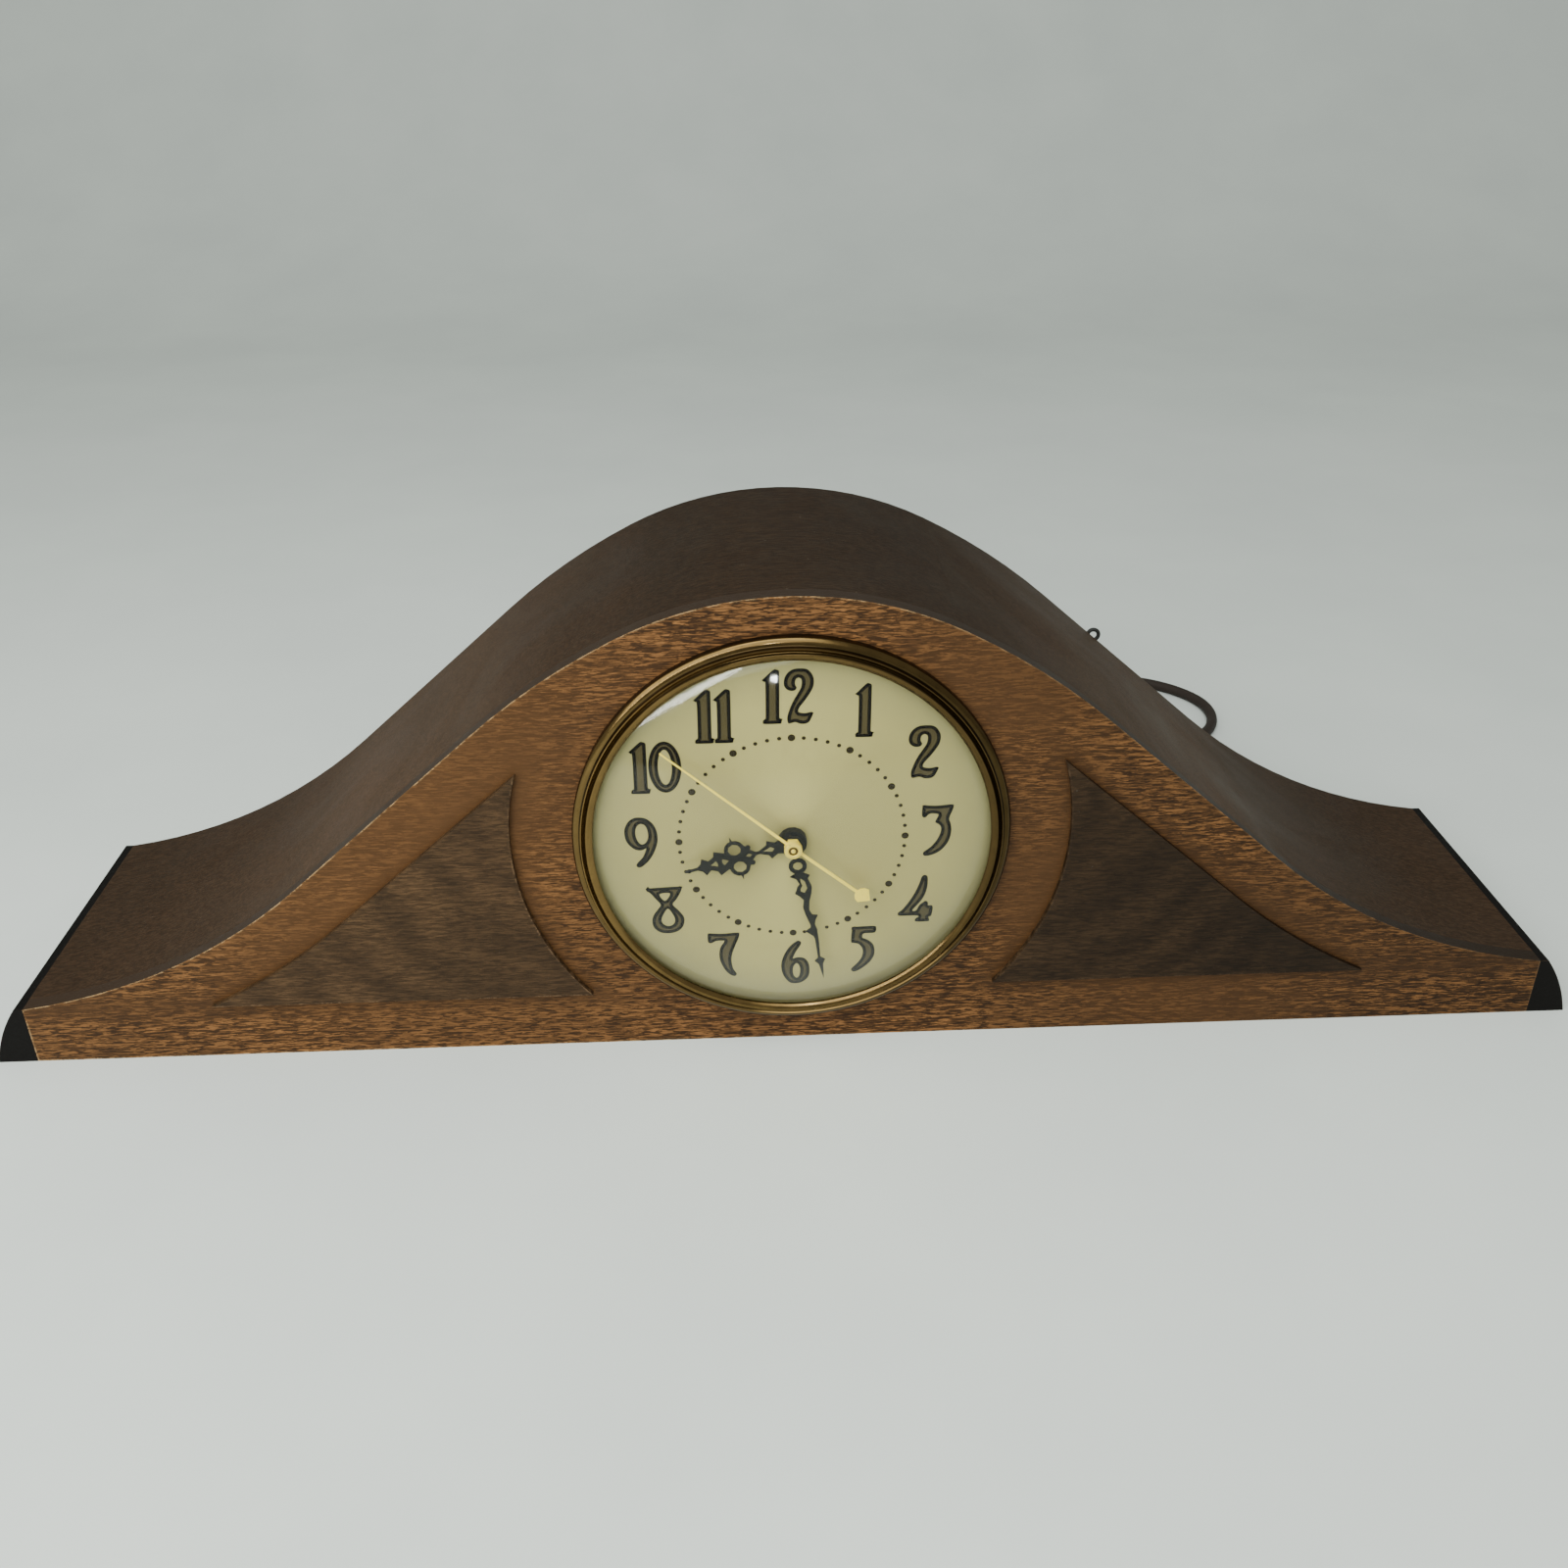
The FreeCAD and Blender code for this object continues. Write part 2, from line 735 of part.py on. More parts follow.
def make_minute_hand():
    """A pierced hand whose arm swings from side to side between thorns."""
    front = dial_front - minute_level
    rear = front + hand_metal
    size = minute_length
    ring_z = minute_ring_place_share * size
    hand = joined([plate_of(minute_edge_shares, size, front, rear),
                   prism(minute_ring_radius_share * size, 0, ring_z, front, rear, hub_sides),
                   prism(minute_hub_radius, 0, 0, front, rear, hub_sides)])
    hand = pierced(hand, minute_ring_hole_share * size, 0, ring_z, front, rear)
    hand = hand.cut(plate_of(minute_hole_shares, size, front - overrun, rear + overrun))
    return set_hand(pierced(hand, minute_tube_radius, 0, 0, front, rear), minute_angle)


def make_second_hand():
    """A thin sweep hand with a drop-shaped counterweight, dipping a little to its tip."""
    front = dial_front - second_level
    rear = front + hand_metal
    hub_front = dial_front - hub_level
    hub = prism(second_hub_radius, 0, 0, hub_front, rear, hub_sides)
    root = second_width / 2
    tip = second_tip_width / 2
    pointer = slab(polygon([(-root, 0), (root, 0), (tip, second_length), (-tip, second_length)]), front, rear)
    pointer.rotate(vec(0, rear, 0), vec(1, 0, 0), -second_dip)
    bob_end = bob_width - second_tail
    tail = box(-root, root, front, rear, bob_end, 0)
    middle = bob_end - bob_width / 2
    drop = [beside(0, middle, bob_width / 2, 180 * i / bob_facets) for i in range(bob_facets + 1)]
    bob = slab(polygon(drop + [(0, -second_tail)]), front, rear)
    hand = joined([hub, pointer, tail, bob])
    return set_hand(hand.cut(bore(second_arbor_radius, 0, 0, hub_front + hand_metal, rear + overrun)),
                    second_angle)


def make_hand_nut():
    front = dial_front - minute_level - hand_nut_height
    nut = prism(hand_nut_radius, 0, dial_height, front, dial_front - minute_level, nut_sides)
    return pierced(nut, minute_tube_radius, 0, dial_height, front, dial_front)


# Gearing
def involute(angle):
    return math.tan(angle) - angle


def gear(teeth, module, tip_share, x, z, y0, y1, facing):
    """A toothed disc with straight flanks laid along the involute, a tooth pointing at an angle."""
    pitch = module * teeth / 2
    pressure = math.radians(tooth_pressure_angle)
    base = pitch * math.cos(pressure)
    tip = pitch + tip_share * module
    root = pitch - root_share * module
    half_pitch = (math.pi * module / 2 - tooth_play) / (2 * pitch) + involute(pressure)

    def half_tooth(radius):
        return half_pitch - involute(math.acos(min(base / radius, 1)))

    corners = [(root, -half_tooth(root)), (tip, -half_tooth(tip)), (tip, half_tooth(tip)),
               (root, half_tooth(root))]
    points = []
    for i in range(teeth):
        middle = math.radians(facing) + 2 * math.pi * i / teeth
        points += [(x + radius * math.cos(middle + off), z + radius * math.sin(middle + off))
                   for radius, off in corners]
    return slab(polygon(points), y0, y1)


def gap_facing(teeth, degrees):
    """The angle of a tooth that leaves a gap pointing at the given angle."""
    return degrees + 180 / teeth


def crossed_out(wheel, radius, x, z, y0, y1):
    """Cuts the windows between a wheel's spokes."""
    outer = window_outer_share * radius
    inner = window_inner_share * radius
    half = 180 / spoke_count
    far = half - math.degrees(math.asin(spoke_width / 2 / outer))
    near = half - math.degrees(math.asin(spoke_width / 2 / inner))
    for i in range(spoke_count):
        middle = half * (2 * i + 1)
        corners = ((outer, -far), (outer, 0), (outer, far), (inner, near), (inner, -near))
        window = [beside(x, z, length, middle + turn) for length, turn in corners]
        wheel = wheel.cut(slab(polygon(window), y0 - overrun, y1 + overrun))
    return wheel


def make_seconds_arbor():
    """The motor's output arbor, with the pinion that drives the third wheel."""
    pinion = gear(seconds_pinion_teeth, train_module, pinion_tip_share, 0, dial_height,
                  third_wheel_front - pinion_overlap, third_wheel_front - pinion_overlap + pinion_metal,
                  third_angle)
    front = dial_front - hub_level + hand_metal
    return joined([pinion, shaft(second_arbor_radius, 0, dial_height, front, motor_front + can_flange)])


def make_cannon_pinion():
    """A long tube through the front plate that carries the minute hand, with its pinion."""
    front = dial_front - minute_level - hand_nut_height
    rear = front_plate_rear + tube_behind_plate
    pinion = gear(cannon_teeth, motion_module, pinion_tip_share, 0, dial_height, cannon_front,
                  cannon_front + pinion_metal, minute_stud_angle)
    body = joined([pinion, shaft(minute_tube_radius, 0, dial_height, front, rear)])
    return pierced(body, second_arbor_radius + run_clearance, 0, dial_height, front, rear)


def make_clutch_spring():
    front = centre_wheel_front + wheel_metal + run_clearance
    return sleeve(clutch_radius, minute_tube_radius, 0, dial_height, front, front + clutch_metal)


def make_hour_wheel():
    """The hour wheel on its pipe, which carries the hour hand."""
    front = dial_front - hour_level
    rear = hour_wheel_front + wheel_metal
    wheel = gear(hour_wheel_teeth, hour_module, wheel_tip_share, 0, dial_height, hour_wheel_front, rear,
                 gap_facing(hour_wheel_teeth, minute_stud_angle))
    body = joined([wheel, shaft(hour_tube_radius, 0, dial_height, front, rear)])
    return pierced(body, minute_tube_radius + run_clearance, 0, dial_height, front, rear)


def make_minute_wheel():
    """The wheel that the cannon pinion turns, with the pinion that turns the hour wheel."""
    x, z = minute_stud_place
    front = hour_wheel_front - pinion_overlap
    rear = minute_wheel_front + wheel_metal
    wheel = gear(minute_wheel_teeth, motion_module, wheel_tip_share, x, z, minute_wheel_front, rear,
                 gap_facing(minute_wheel_teeth, minute_stud_angle + 180))
    pinion = gear(minute_pinion_teeth, hour_module, pinion_tip_share, x, z, front, minute_wheel_front,
                  minute_stud_angle + 180)
    return pierced(joined([wheel, pinion]), stud_radius + run_clearance, x, z, front, rear)


def make_minute_stud():
    x, z = minute_stud_place
    front = hour_wheel_front - pinion_overlap - run_clearance
    stud = shaft(stud_radius, x, z, front, front_plate_rear)
    head = shaft(stud_head_radius, x, z, front - stud_head, front)
    collar = shaft(stud_head_radius, x, z, minute_wheel_front + wheel_metal + run_clearance, front_plate)
    return joined([stud, head, collar])


def make_set_arbor():
    """The hand-setting arbor, from its pinion at the minute wheel to the knob behind the case."""
    x, z = set_place
    tooth = gap_facing(minute_wheel_teeth, minute_stud_angle + 180)
    pitches = (set_arbor_angle - tooth) * minute_wheel_teeth / 360
    facing = set_arbor_angle + 180 + (pitches - 0.5) * 360 / set_teeth
    pinion = gear(set_teeth, motion_module, pinion_tip_share, x, z, cannon_front, cannon_front + pinion_metal,
                  facing)
    return joined([pinion, shaft(set_arbor_radius, x, z, cannon_front, panel_rear + knob_gap + knob_depth / 2)])


def make_set_knob():
    """A round knob with a grooved rim."""
    x, z = set_place
    front = panel_rear + knob_gap
    points = []
    for i in range(2 * knob_flutes):
        points.append(beside(x, z, knob_radius - knob_flute_depth * (i % 2), 180 * i / knob_flutes))
    knob = slab(polygon(points), front, front + knob_depth)
    return knob.cut(bore(set_arbor_radius, x, z, front - overrun, front + knob_depth / 2))


def make_centre_wheel():
    """Carried loose on the minute tube and pressed by the clutch spring."""
    front = centre_wheel_front
    rear = front + wheel_metal
    wheel = gear(centre_wheel_teeth, centre_module, wheel_tip_share, 0, dial_height, front, rear,
                 gap_facing(centre_wheel_teeth, third_angle))
    wheel = crossed_out(wheel, centre_module * centre_wheel_teeth / 2, 0, dial_height, front, rear)
    return pierced(wheel, minute_tube_radius + run_clearance, 0, dial_height, front, rear)


def make_third_wheel():
    x, z = third_place
    front = third_wheel_front
    rear = front + wheel_metal
    wheel = gear(third_wheel_teeth, train_module, wheel_tip_share, x, z, front, rear,
                 gap_facing(third_wheel_teeth, third_angle + 180))
    wheel = crossed_out(wheel, train_module * third_wheel_teeth / 2, x, z, front, rear)
    return pierced(wheel, slim_arbor_radius, x, z, front, rear)


def make_third_arbor():
    x, z = third_place
    front = centre_wheel_front - pinion_overlap
    pinion = gear(third_pinion_teeth, centre_module, pinion_tip_share, x, z, front, front + pinion_metal,
                  third_angle + 180)
    return joined([pinion, shaft(slim_arbor_radius, x, z, front_plate - pivot_reach,
                                 back_plate_rear + pivot_reach)])


# Plates and what holds them
def pillar_places():
    return [(-pillar_across, pillar_low), (-pillar_across, pillar_high), (pillar_across, pillar_high),
            (odd_pillar_across, odd_pillar_height)]


def movement_screw_places():
    return [(side * movement_screw_across, z) for side in (-1, 1)
            for z in (movement_screw_low, movement_screw_high)]


def make_plate(holes, y0, y1):
    """A plate with its corners cut off and its holes, each given as x, z and radius."""
    left, right, low, high = -plate_half_width, plate_half_width, plate_bottom, plate_top
    cut_off = plate_corner
    plate = slab(polygon([(left + cut_off, low), (right - cut_off, low), (right, low + cut_off),
                          (right, high - cut_off), (right - cut_off, high), (left + cut_off, high),
                          (left, high - cut_off), (left, low + cut_off)]), y0, y1)
    for x, z, radius in holes:
        plate = pierced(plate, radius, x, z, y0, y1)
    return plate


def shared_holes():
    """The pivot holes that both plates have."""
    slim = slim_arbor_radius + run_clearance
    return [(*set_place, set_arbor_radius + run_clearance), (*third_place, slim), (*fly_place, slim),
            (*drum_place, drum_arbor_radius + run_clearance), (*hammer_place, hammer_arbor_radius)]


def make_front_plate():
    holes = shared_holes() + [(0, dial_height, minute_tube_radius + run_clearance),
                              (*minute_stud_place, stud_radius)]
    holes += [(x, z, screw_radius) for x, z in movement_screw_places()]
    return make_plate(holes, front_plate, front_plate_rear)


def make_back_plate():
    holes = shared_holes() + [(0, dial_height, second_arbor_radius + run_clearance)]
    return make_plate(holes, back_plate, back_plate_rear)


def make_pillars():
    return group([shaft(pillar_radius, x, z, front_plate_rear, back_plate) for x, z in pillar_places()])


def make_spacers():
    return group([sleeve(spacer_radius, screw_radius, x, z, board_back, front_plate)
                  for x, z in movement_screw_places()])


def screw(x, z, tip, seat):
    """A screw along Y from its tip, with its head behind the seat."""
    return joined([shaft(screw_radius, x, z, tip, seat),
                   shaft(screw_head_radius, x, z, seat, seat + screw_head_height)])


def make_movement_screws():
    return group([screw(x, z, board_back - screw_bite, front_plate_rear) for x, z in movement_screw_places()])


# Motor
def make_motor_can():
    """The sealed can that holds the rotor and its reduction gearing."""
    flange = prism(can_flange_radius, 0, dial_height, motor_front, motor_front + can_flange, can_sides)
    can = prism(can_radius, 0, dial_height, motor_front, motor_front + can_depth, can_sides)
    whole = joined([flange, can])
    return whole.cut(bore(second_arbor_radius, 0, dial_height, motor_front - overrun,
                          motor_front + can_flange))


def core_post_places():
    across = core_half_width - core_post_inset
    limb = (core_half_width + core_window_half_width) / 2
    low = dial_height - core_below + core_limb + core_post_inset
    return [(across, dial_height + core_above - core_post_inset), (-limb, low), (limb, low)]


def make_core():
    """The laminated iron core, bored for the can and with a window for the winding."""
    rear = core_front + core_depth
    low = dial_height - core_below
    core = box(-core_half_width, core_half_width, core_front, rear, low, dial_height + core_above)
    room = (can_radius + can_clearance) / math.cos(math.pi / can_sides)
    core = core.cut(prism(room, 0, dial_height, core_front - overrun, rear + overrun, can_sides))
    core = core.cut(box(-core_window_half_width, core_window_half_width, core_front - overrun, rear + overrun,
                        low + core_limb, dial_height - core_window_edge))
    return core


def make_core_posts():
    """Stand-offs between the back plate and the core."""
    return group([shaft(core_post_radius, x, z, motor_front, core_front) for x, z in core_post_places()])


def make_winding():
    """The motor's coil, wound round the core's lower limb."""
    low = dial_height - core_below
    half = core_window_half_width - seat_clearance
    front = core_front - winding
    rear = core_front + core_depth + winding
    bottom = low - winding
    top = low + core_limb + winding
    cut_off = winding_chamfer
    section = [vec(-half, front + cut_off, bottom), vec(-half, front, bottom + cut_off),
               vec(-half, front, top - cut_off), vec(-half, front + cut_off, top),
               vec(-half, rear - cut_off, top), vec(-half, rear, top - cut_off),
               vec(-half, rear, bottom + cut_off), vec(-half, rear - cut_off, bottom)]
    body = Part.Face(Part.makePolygon(section + section[:1])).extrude(vec(2 * half, 0, 0))
    return body.cut(box(-core_half_width, core_half_width, core_front, core_front + core_depth, low,
                        low + core_limb))


# Chime
def make_drum():
    """The chime drum on its arbor, with pins in one track for each hammer."""
    x, z = drum_place
    side = drum_pin_side / 2
    pieces = [prism(drum_radius, x, z, track_places[0] - drum_end_margin, track_places[-1] + drum_end_margin,
                    drum_sides),
              shaft(drum_arbor_radius, x, z, front_plate - pivot_reach, back_plate_rear + pivot_reach)]
    for i, y in enumerate(track_places):
        for k in range(drum_pins_per_track):
            turn = 360 * (drum_pin_step_share * k + track_phase_share * (2 * i + 1))
            pin = box(drum_radius / 2, drum_radius + drum_pin_height, y - side, y + side, -side, side)
            pin.rotate(vec(0, 0, 0), vec(0, 1, 0), turn)
            pin.translate(vec(x, 0, z))
            pieces.append(pin)
    return joined(pieces)


def make_drum_wheel():
    x, z = drum_place
    rear = drum_wheel_front + wheel_metal
    wheel = gear(drum_wheel_teeth, chime_module, wheel_tip_share, x, z, drum_wheel_front, rear, fly_angle)
    return pierced(wheel, drum_arbor_radius, x, z, drum_wheel_front, rear)


def make_fly():
    """The air fly that steadies the chime's speed, on one arbor with its pinion."""
    x, z = fly_place
    front = drum_wheel_front - pinion_overlap
    pinion = gear(fly_teeth, chime_module, pinion_tip_share, x, z, front, front + pinion_metal,
                  gap_facing(fly_teeth, fly_angle + 180))
    start = back_plate_rear + fly_clearance
    arbor = shaft(slim_arbor_radius, x, z, front_plate - pivot_reach, start + fly_depth)
    blade = box(x - fly_half_span, x + fly_half_span, start, start + fly_depth, z - fly_metal / 2,
                z + fly_metal / 2)
    return joined([pinion, arbor, blade])


def make_hammer_arbor():
    return shaft(hammer_arbor_radius, *hammer_place, front_plate, back_plate_rear)


def make_hammer(y):
    """A hub with a wire arm, the tail that the drum lifts, and the head with its softer tip."""
    x, z = hammer_place
    half = hammer_hub_length / 2
    hub = shaft(hammer_hub_radius, x, z, y - half, y + half)
    arm = lengthwise(hammer_arm_radius, x, head_across, y, z)
    reach = hammer_pivot_distance - drum_radius - drum_pin_height - hammer_tail_gap
    tail = box(0, reach, y - half / 2, y + half / 2, -hammer_tail_metal / 2, hammer_tail_metal / 2)
    tail.rotate(vec(0, 0, 0), vec(0, 1, 0), -(hammer_pivot_angle + 180))
    tail.translate(vec(x, 0, z))
    lever = joined([hub, arm, tail])
    lever = pierced(lever, hammer_arbor_radius + run_clearance, x, z, y - half, y + half)
    head = upright(hammer_head_radius, head_across, y, head_foot, z + hammer_head_above)
    tip = upright(hammer_tip_radius, head_across, y, head_foot - hammer_tip_length, head_foot)
    return group([lever, head.cut(lever), tip])


def make_collars():
    """Washers on the hammer arbor before, between and behind the hammers."""
    half = hammer_hub_length / 2 + run_clearance
    edges = [front_plate_rear] + [y + way * half for y in track_places for way in (-1, 1)] + [back_plate]
    return group([sleeve(collar_radius, hammer_arbor_radius, *hammer_place, start, stop)
                  for start, stop in zip(edges[0::2], edges[1::2])])


def block_screw_places():
    return [rod_block_left - rod_block_flange / 2, rod_block_right + rod_block_flange / 2]


def make_rods():
    """Tuned chime rods, one under each hammer, each shorter than the one before."""
    rods = []
    for i, y in enumerate(track_places):
        length = rod_longest - rod_step * i
        rods.append(lengthwise(rod_radius, rod_block_left - length, rod_block_left + rod_seat, y, rod_height))
    return group(rods)


def make_rod_block():
    """The cast block that the chime rods are driven into, with a screw foot on each side."""
    y0 = track_places[0] - rod_block_margin
    y1 = track_places[-1] + rod_block_margin
    seat = base_thickness + rod_block_flange_height
    block = box(rod_block_left, rod_block_right, y0, y1, base_thickness, rod_height + rod_block_rise)
    foot = box(rod_block_left - rod_block_flange, rod_block_right + rod_block_flange, y0, y1, base_thickness, seat)
    block = joined([block, foot]).cut(make_rods())
    for x in block_screw_places():
        block = block.cut(upright(screw_radius, x, track_middle, base_thickness - overrun, seat + overrun))
    return block


def make_block_screws():
    seat = base_thickness + rod_block_flange_height
    return group([joined([upright(screw_radius, x, track_middle, base_thickness - screw_bite, seat),
                          upright(screw_head_radius, x, track_middle, seat, seat + screw_head_height)])
                  for x in block_screw_places()])


# Back
def hump_window(margin, foot, y0, y1):
    """The space inside the outline by the margin and above the foot."""
    space = under_outline(margin, y0, y1)
    return space.common(box(-body_half_length, body_half_length, y0, y1, foot, crown_height))


def panel_screw_places():
    """Along the panel's foot and at its crown."""
    panel = hump_window(opening_margin - panel_lap, opening_foot - panel_lap, 0, panel_thickness).BoundBox
    places = [(share * panel.XMax, opening_foot - panel_screw_inset) for share in panel_screw_shares]
    return places + [(0, panel.ZMax - panel_screw_inset)]


def make_back_board():
    board = under_outline(cover_thickness, back_front, back_rear)
    board = board.cut(box(-body_half_length - overrun, body_half_length + overrun, back_front - overrun,
                          back_rear + overrun, -overrun, base_thickness))
    board = board.cut(hump_window(opening_margin, opening_foot, back_front - overrun, back_rear + overrun))
    for x, z in panel_screw_places():
        board = board.cut(bore(screw_radius, x, z, back_rear - panel_screw_bite, back_rear + overrun))
    return pierced(board, lever_wire_radius + run_clearance, lever_across, lever_height, back_front, back_rear)


def make_back_panel():
    """The thin pressed board over the opening, with its sound slots."""
    y0, y1 = back_rear, panel_rear
    panel = hump_window(opening_margin - panel_lap, opening_foot - panel_lap, y0, y1)
    for side in (-1, 1):
        for i in range(slot_count):
            x = side * (slot_first + slot_pitch * i)
            panel = panel.cut(box(x - slot_width / 2, x + slot_width / 2, y0 - overrun, y1 + overrun,
                                  slot_middle - slot_length / 2, slot_middle + slot_length / 2))
    panel = pierced(panel, knob_hole_radius, *set_place, y0, y1)
    gland_hole = prism(gland_neck_radius, gland_across, gland_height, y0 - overrun, y1 + overrun, gland_sides)
    panel = panel.cut(gland_hole)
    for x, z in panel_screw_places():
        panel = pierced(panel, screw_radius, x, z, y0, y1)
    return panel


def make_panel_screws():
    return group([screw(x, z, back_rear - panel_screw_bite, panel_rear) for x, z in panel_screw_places()])


def make_gland():
    """The rubber bush in the back panel, with a nose that the cord comes out of."""
    x, z = gland_across, gland_height
    inner = prism(gland_radius, x, z, back_rear - gland_flange, back_rear, gland_sides)
    neck = prism(gland_neck_radius, x, z, back_rear, panel_rear, gland_sides)
    outer = prism(gland_radius, x, z, panel_rear, panel_rear + gland_flange, gland_sides)
    nose = prism(gland_neck_radius, x, z, panel_rear + gland_flange, gland_end, gland_sides)
    return joined([inner, neck, outer, nose])


def make_lever():
    """A wire lever behind the case, ending in an open loop, on an arbor through the back board."""
    plane = back_rear + lever_stand_off
    half = lever_wire_radius
    dx = lever_loop_across - lever_across
    dz = lever_loop_height - lever_height
    eye = math.hypot(dx, dz)
    outer = lever_loop_radius + half
    inner = lever_loop_radius - half
    arbor = shaft(half, 0, 0, back_front - lever_finger_gap, plane + half)
    boss = shaft(lever_boss_radius, 0, 0, back_rear + run_clearance, plane - half)
    arm = box(-half, half, plane - half, plane + half, 0, eye - lever_loop_radius)
    count = lever_loop_facets
    turns = [lever_loop_start + lever_loop_turn * i / count for i in range(count + 1)]
    rim = [beside(0, eye, outer, t) for t in turns] + [beside(0, eye, inner, t) for t in reversed(turns)]
    loop = slab(polygon(rim), plane - half, plane + half)
    inside = back_front - lever_finger_gap
    finger = box(-half, half, inside, inside + 2 * half, -lever_finger, 0)
    lever = joined([arbor, boss, arm, loop, finger])
    lever.rotate(vec(0, 0, 0), vec(0, 1, 0), math.degrees(math.atan2(dx, dz)))
    lever.translate(vec(lever_across, 0, lever_height))
    return lever


# Cord
def filleted_path(points, radii):
    """Straight runs through the points, joined by tangent arcs of the given radii."""
    edges = []
    start = points[0]
    for before, corner, after, radius in zip(points, points[1:], points[2:], radii):
        into = (corner - before).normalize()
        out = (after - corner).normalize()
        half = into.getAngle(out) / 2
        cut_back = radius * math.tan(half)
        first = corner - into * cut_back
        last = corner + out * cut_back
        inward = (out - into).normalize()
        middle = corner + inward * (radius / math.cos(half) - radius)
        edges.append(Part.LineSegment(start, first).toShape())
        edges.append(Part.Arc(first, middle, last).toShape())
        start = last
    edges.append(Part.LineSegment(start, points[-1]).toShape())
    return Part.Wire(edges)


def route_radii(points):
    """The largest arc that each corner of the route has room for."""
    radii = []
    for before, corner, after in zip(points, points[1:], points[2:]):
        turn = (corner - before).getAngle(after - corner)
        shorter = min((corner - before).Length, (after - corner).Length)
        radii.append(cord_run_share * shorter / math.tan(turn / 2))
    return radii


def swept_cord(path):
    """The cord's section, a regular polygon of the round cord's area, swept along the path."""
    first = path.OrderedEdges[0]
    start = first.valueAt(first.FirstParameter)
    along = first.tangentAt(first.FirstParameter)
    across = along.cross(vec(0, 0, 1)).normalize()
    upward = across.cross(along).normalize()
    reach = cord_radius * math.sqrt(2 * math.pi / (cord_sides * math.sin(2 * math.pi / cord_sides)))
    turns = [math.pi * (2 * i + 1) / cord_sides for i in range(cord_sides)]
    corners = [start + across * (reach * math.cos(t)) + upward * (reach * math.sin(t)) for t in turns]
    shell = Part.BRepOffsetAPI.MakePipeShell(path)
    shell.add(Part.makePolygon(corners + corners[:1]))
    shell.build()
    shell.makeSolid()
    return shell.shape()


def make_cord():
    """The free stretch of the cord, from the gland to the coil."""
    start, heading = coil_start()
    points = [vec(gland_across, gland_end, gland_height)] + [vec(*p) for p in cord_route]
    points += [start - heading * coil_lead, start]
    radii = route_radii(points)
    path = filleted_path(points, radii)
    cord = swept_cord(path)
    expected = math.pi * cord_radius ** 2 * path.Length
    print("cord runs", [round((b - a).Length, 1) for a, b in zip(points, points[1:])])
    print("cord radii", [round(radius, 1) for radius in radii])
    print("cord length", round(path.Length, 1), "volume share", round(cord.Volume / expected, 4))
    return cord


def coil_point(turn):
    """A point of the put-away coil: in along the bottom layer, up, and out along the top one."""
    inward = coil_turns - abs(turn - coil_turns)
    radius = coil_radius - coil_pitch * inward
    climb = min(max(2 * (turn - coil_turns) + 0.5, 0), 1)
    height = cord_rest + coil_layer * (3 * climb ** 2 - 2 * climb ** 3)
    angle = 2 * math.pi * (turn + 0.25)
    return vec(coil_centre[0] + radius * math.cos(angle), coil_centre[1] + radius * math.sin(angle), height)


def coil_heading(turn):
    """The way that the coil runs, from two points a hair's breadth of a turn apart."""
    hair = 1e-4
    return (coil_point(turn + hair) - coil_point(turn - hair)).normalize()


def bulge(start, heading, stop):
    """The middle of the arc that leaves the start along the heading and ends at the stop."""
    chord = stop - start
    along = heading.dot(chord) / chord.Length
    side = (heading - chord * (along / chord.Length)).normalize()
    angle = math.acos(max(min(along, 1), -1))
    return (start + stop) * 0.5 + side * (chord.Length / 2 * math.tan(angle / 2))


def biarc(start, heading, stop, leaving):
    """Two arcs that join one point and heading to another."""
    chord = stop - start
    spread = 2 * (1 - heading.dot(leaving))
    slack = chord.dot(heading + leaving)
    reach = (math.sqrt(slack ** 2 + spread * chord.dot(chord)) - slack) / spread
    meeting = (start + heading * reach + stop - leaving * reach) * 0.5
    first = Part.Arc(start, bulge(start, heading, meeting), meeting).toShape()
    second = Part.Arc(meeting, bulge(stop, leaving * -1, meeting), stop).toShape()
    return [first, second]


def coil_start():
    heading = coil_heading(0)
    return coil_point(0) - heading * (2 * cord_radius), heading


def coil_end():
    heading = coil_heading(2 * coil_turns)
    return coil_point(2 * coil_turns) + heading * plug_lead, heading


def coil_path():
    steps = 2 * coil_turns * arcs_per_turn
    turns = [i / arcs_per_turn for i in range(steps + 1)]
    points = [coil_point(turn) for turn in turns]
    headings = [coil_heading(turn) for turn in turns]
    edges = [Part.LineSegment(coil_start()[0], points[0]).toShape()]
    for i in range(steps):
        edges += biarc(points[i], headings[i], points[i + 1], headings[i + 1])
    edges.append(Part.LineSegment(points[-1], coil_end()[0]).toShape())
    return Part.Wire(edges)


def print_coil_gap(path):
    """Least distance between stretches of the coil that aren't neighbours along it."""
    spacing = cord_radius / 2
    points = path.discretize(Distance=spacing)
    skip = round(math.pi * coil_radius / 2 / spacing)
    least = min((a - b).Length for i, a in enumerate(points) for b in points[i + skip:])
    print("coil length", round(path.Length, 1), "gap", round(least - 2 * cord_radius, 2))


def make_cord_coil():
    path = coil_path()
    print_coil_gap(path)
    return swept_cord(path)


def lie_along(shape, heading, start):
    shape.rotate(vec(0, 0, 0), vec(0, 0, 1), math.degrees(math.atan2(heading.y, heading.x)))
    shape.translate(start)
    return shape


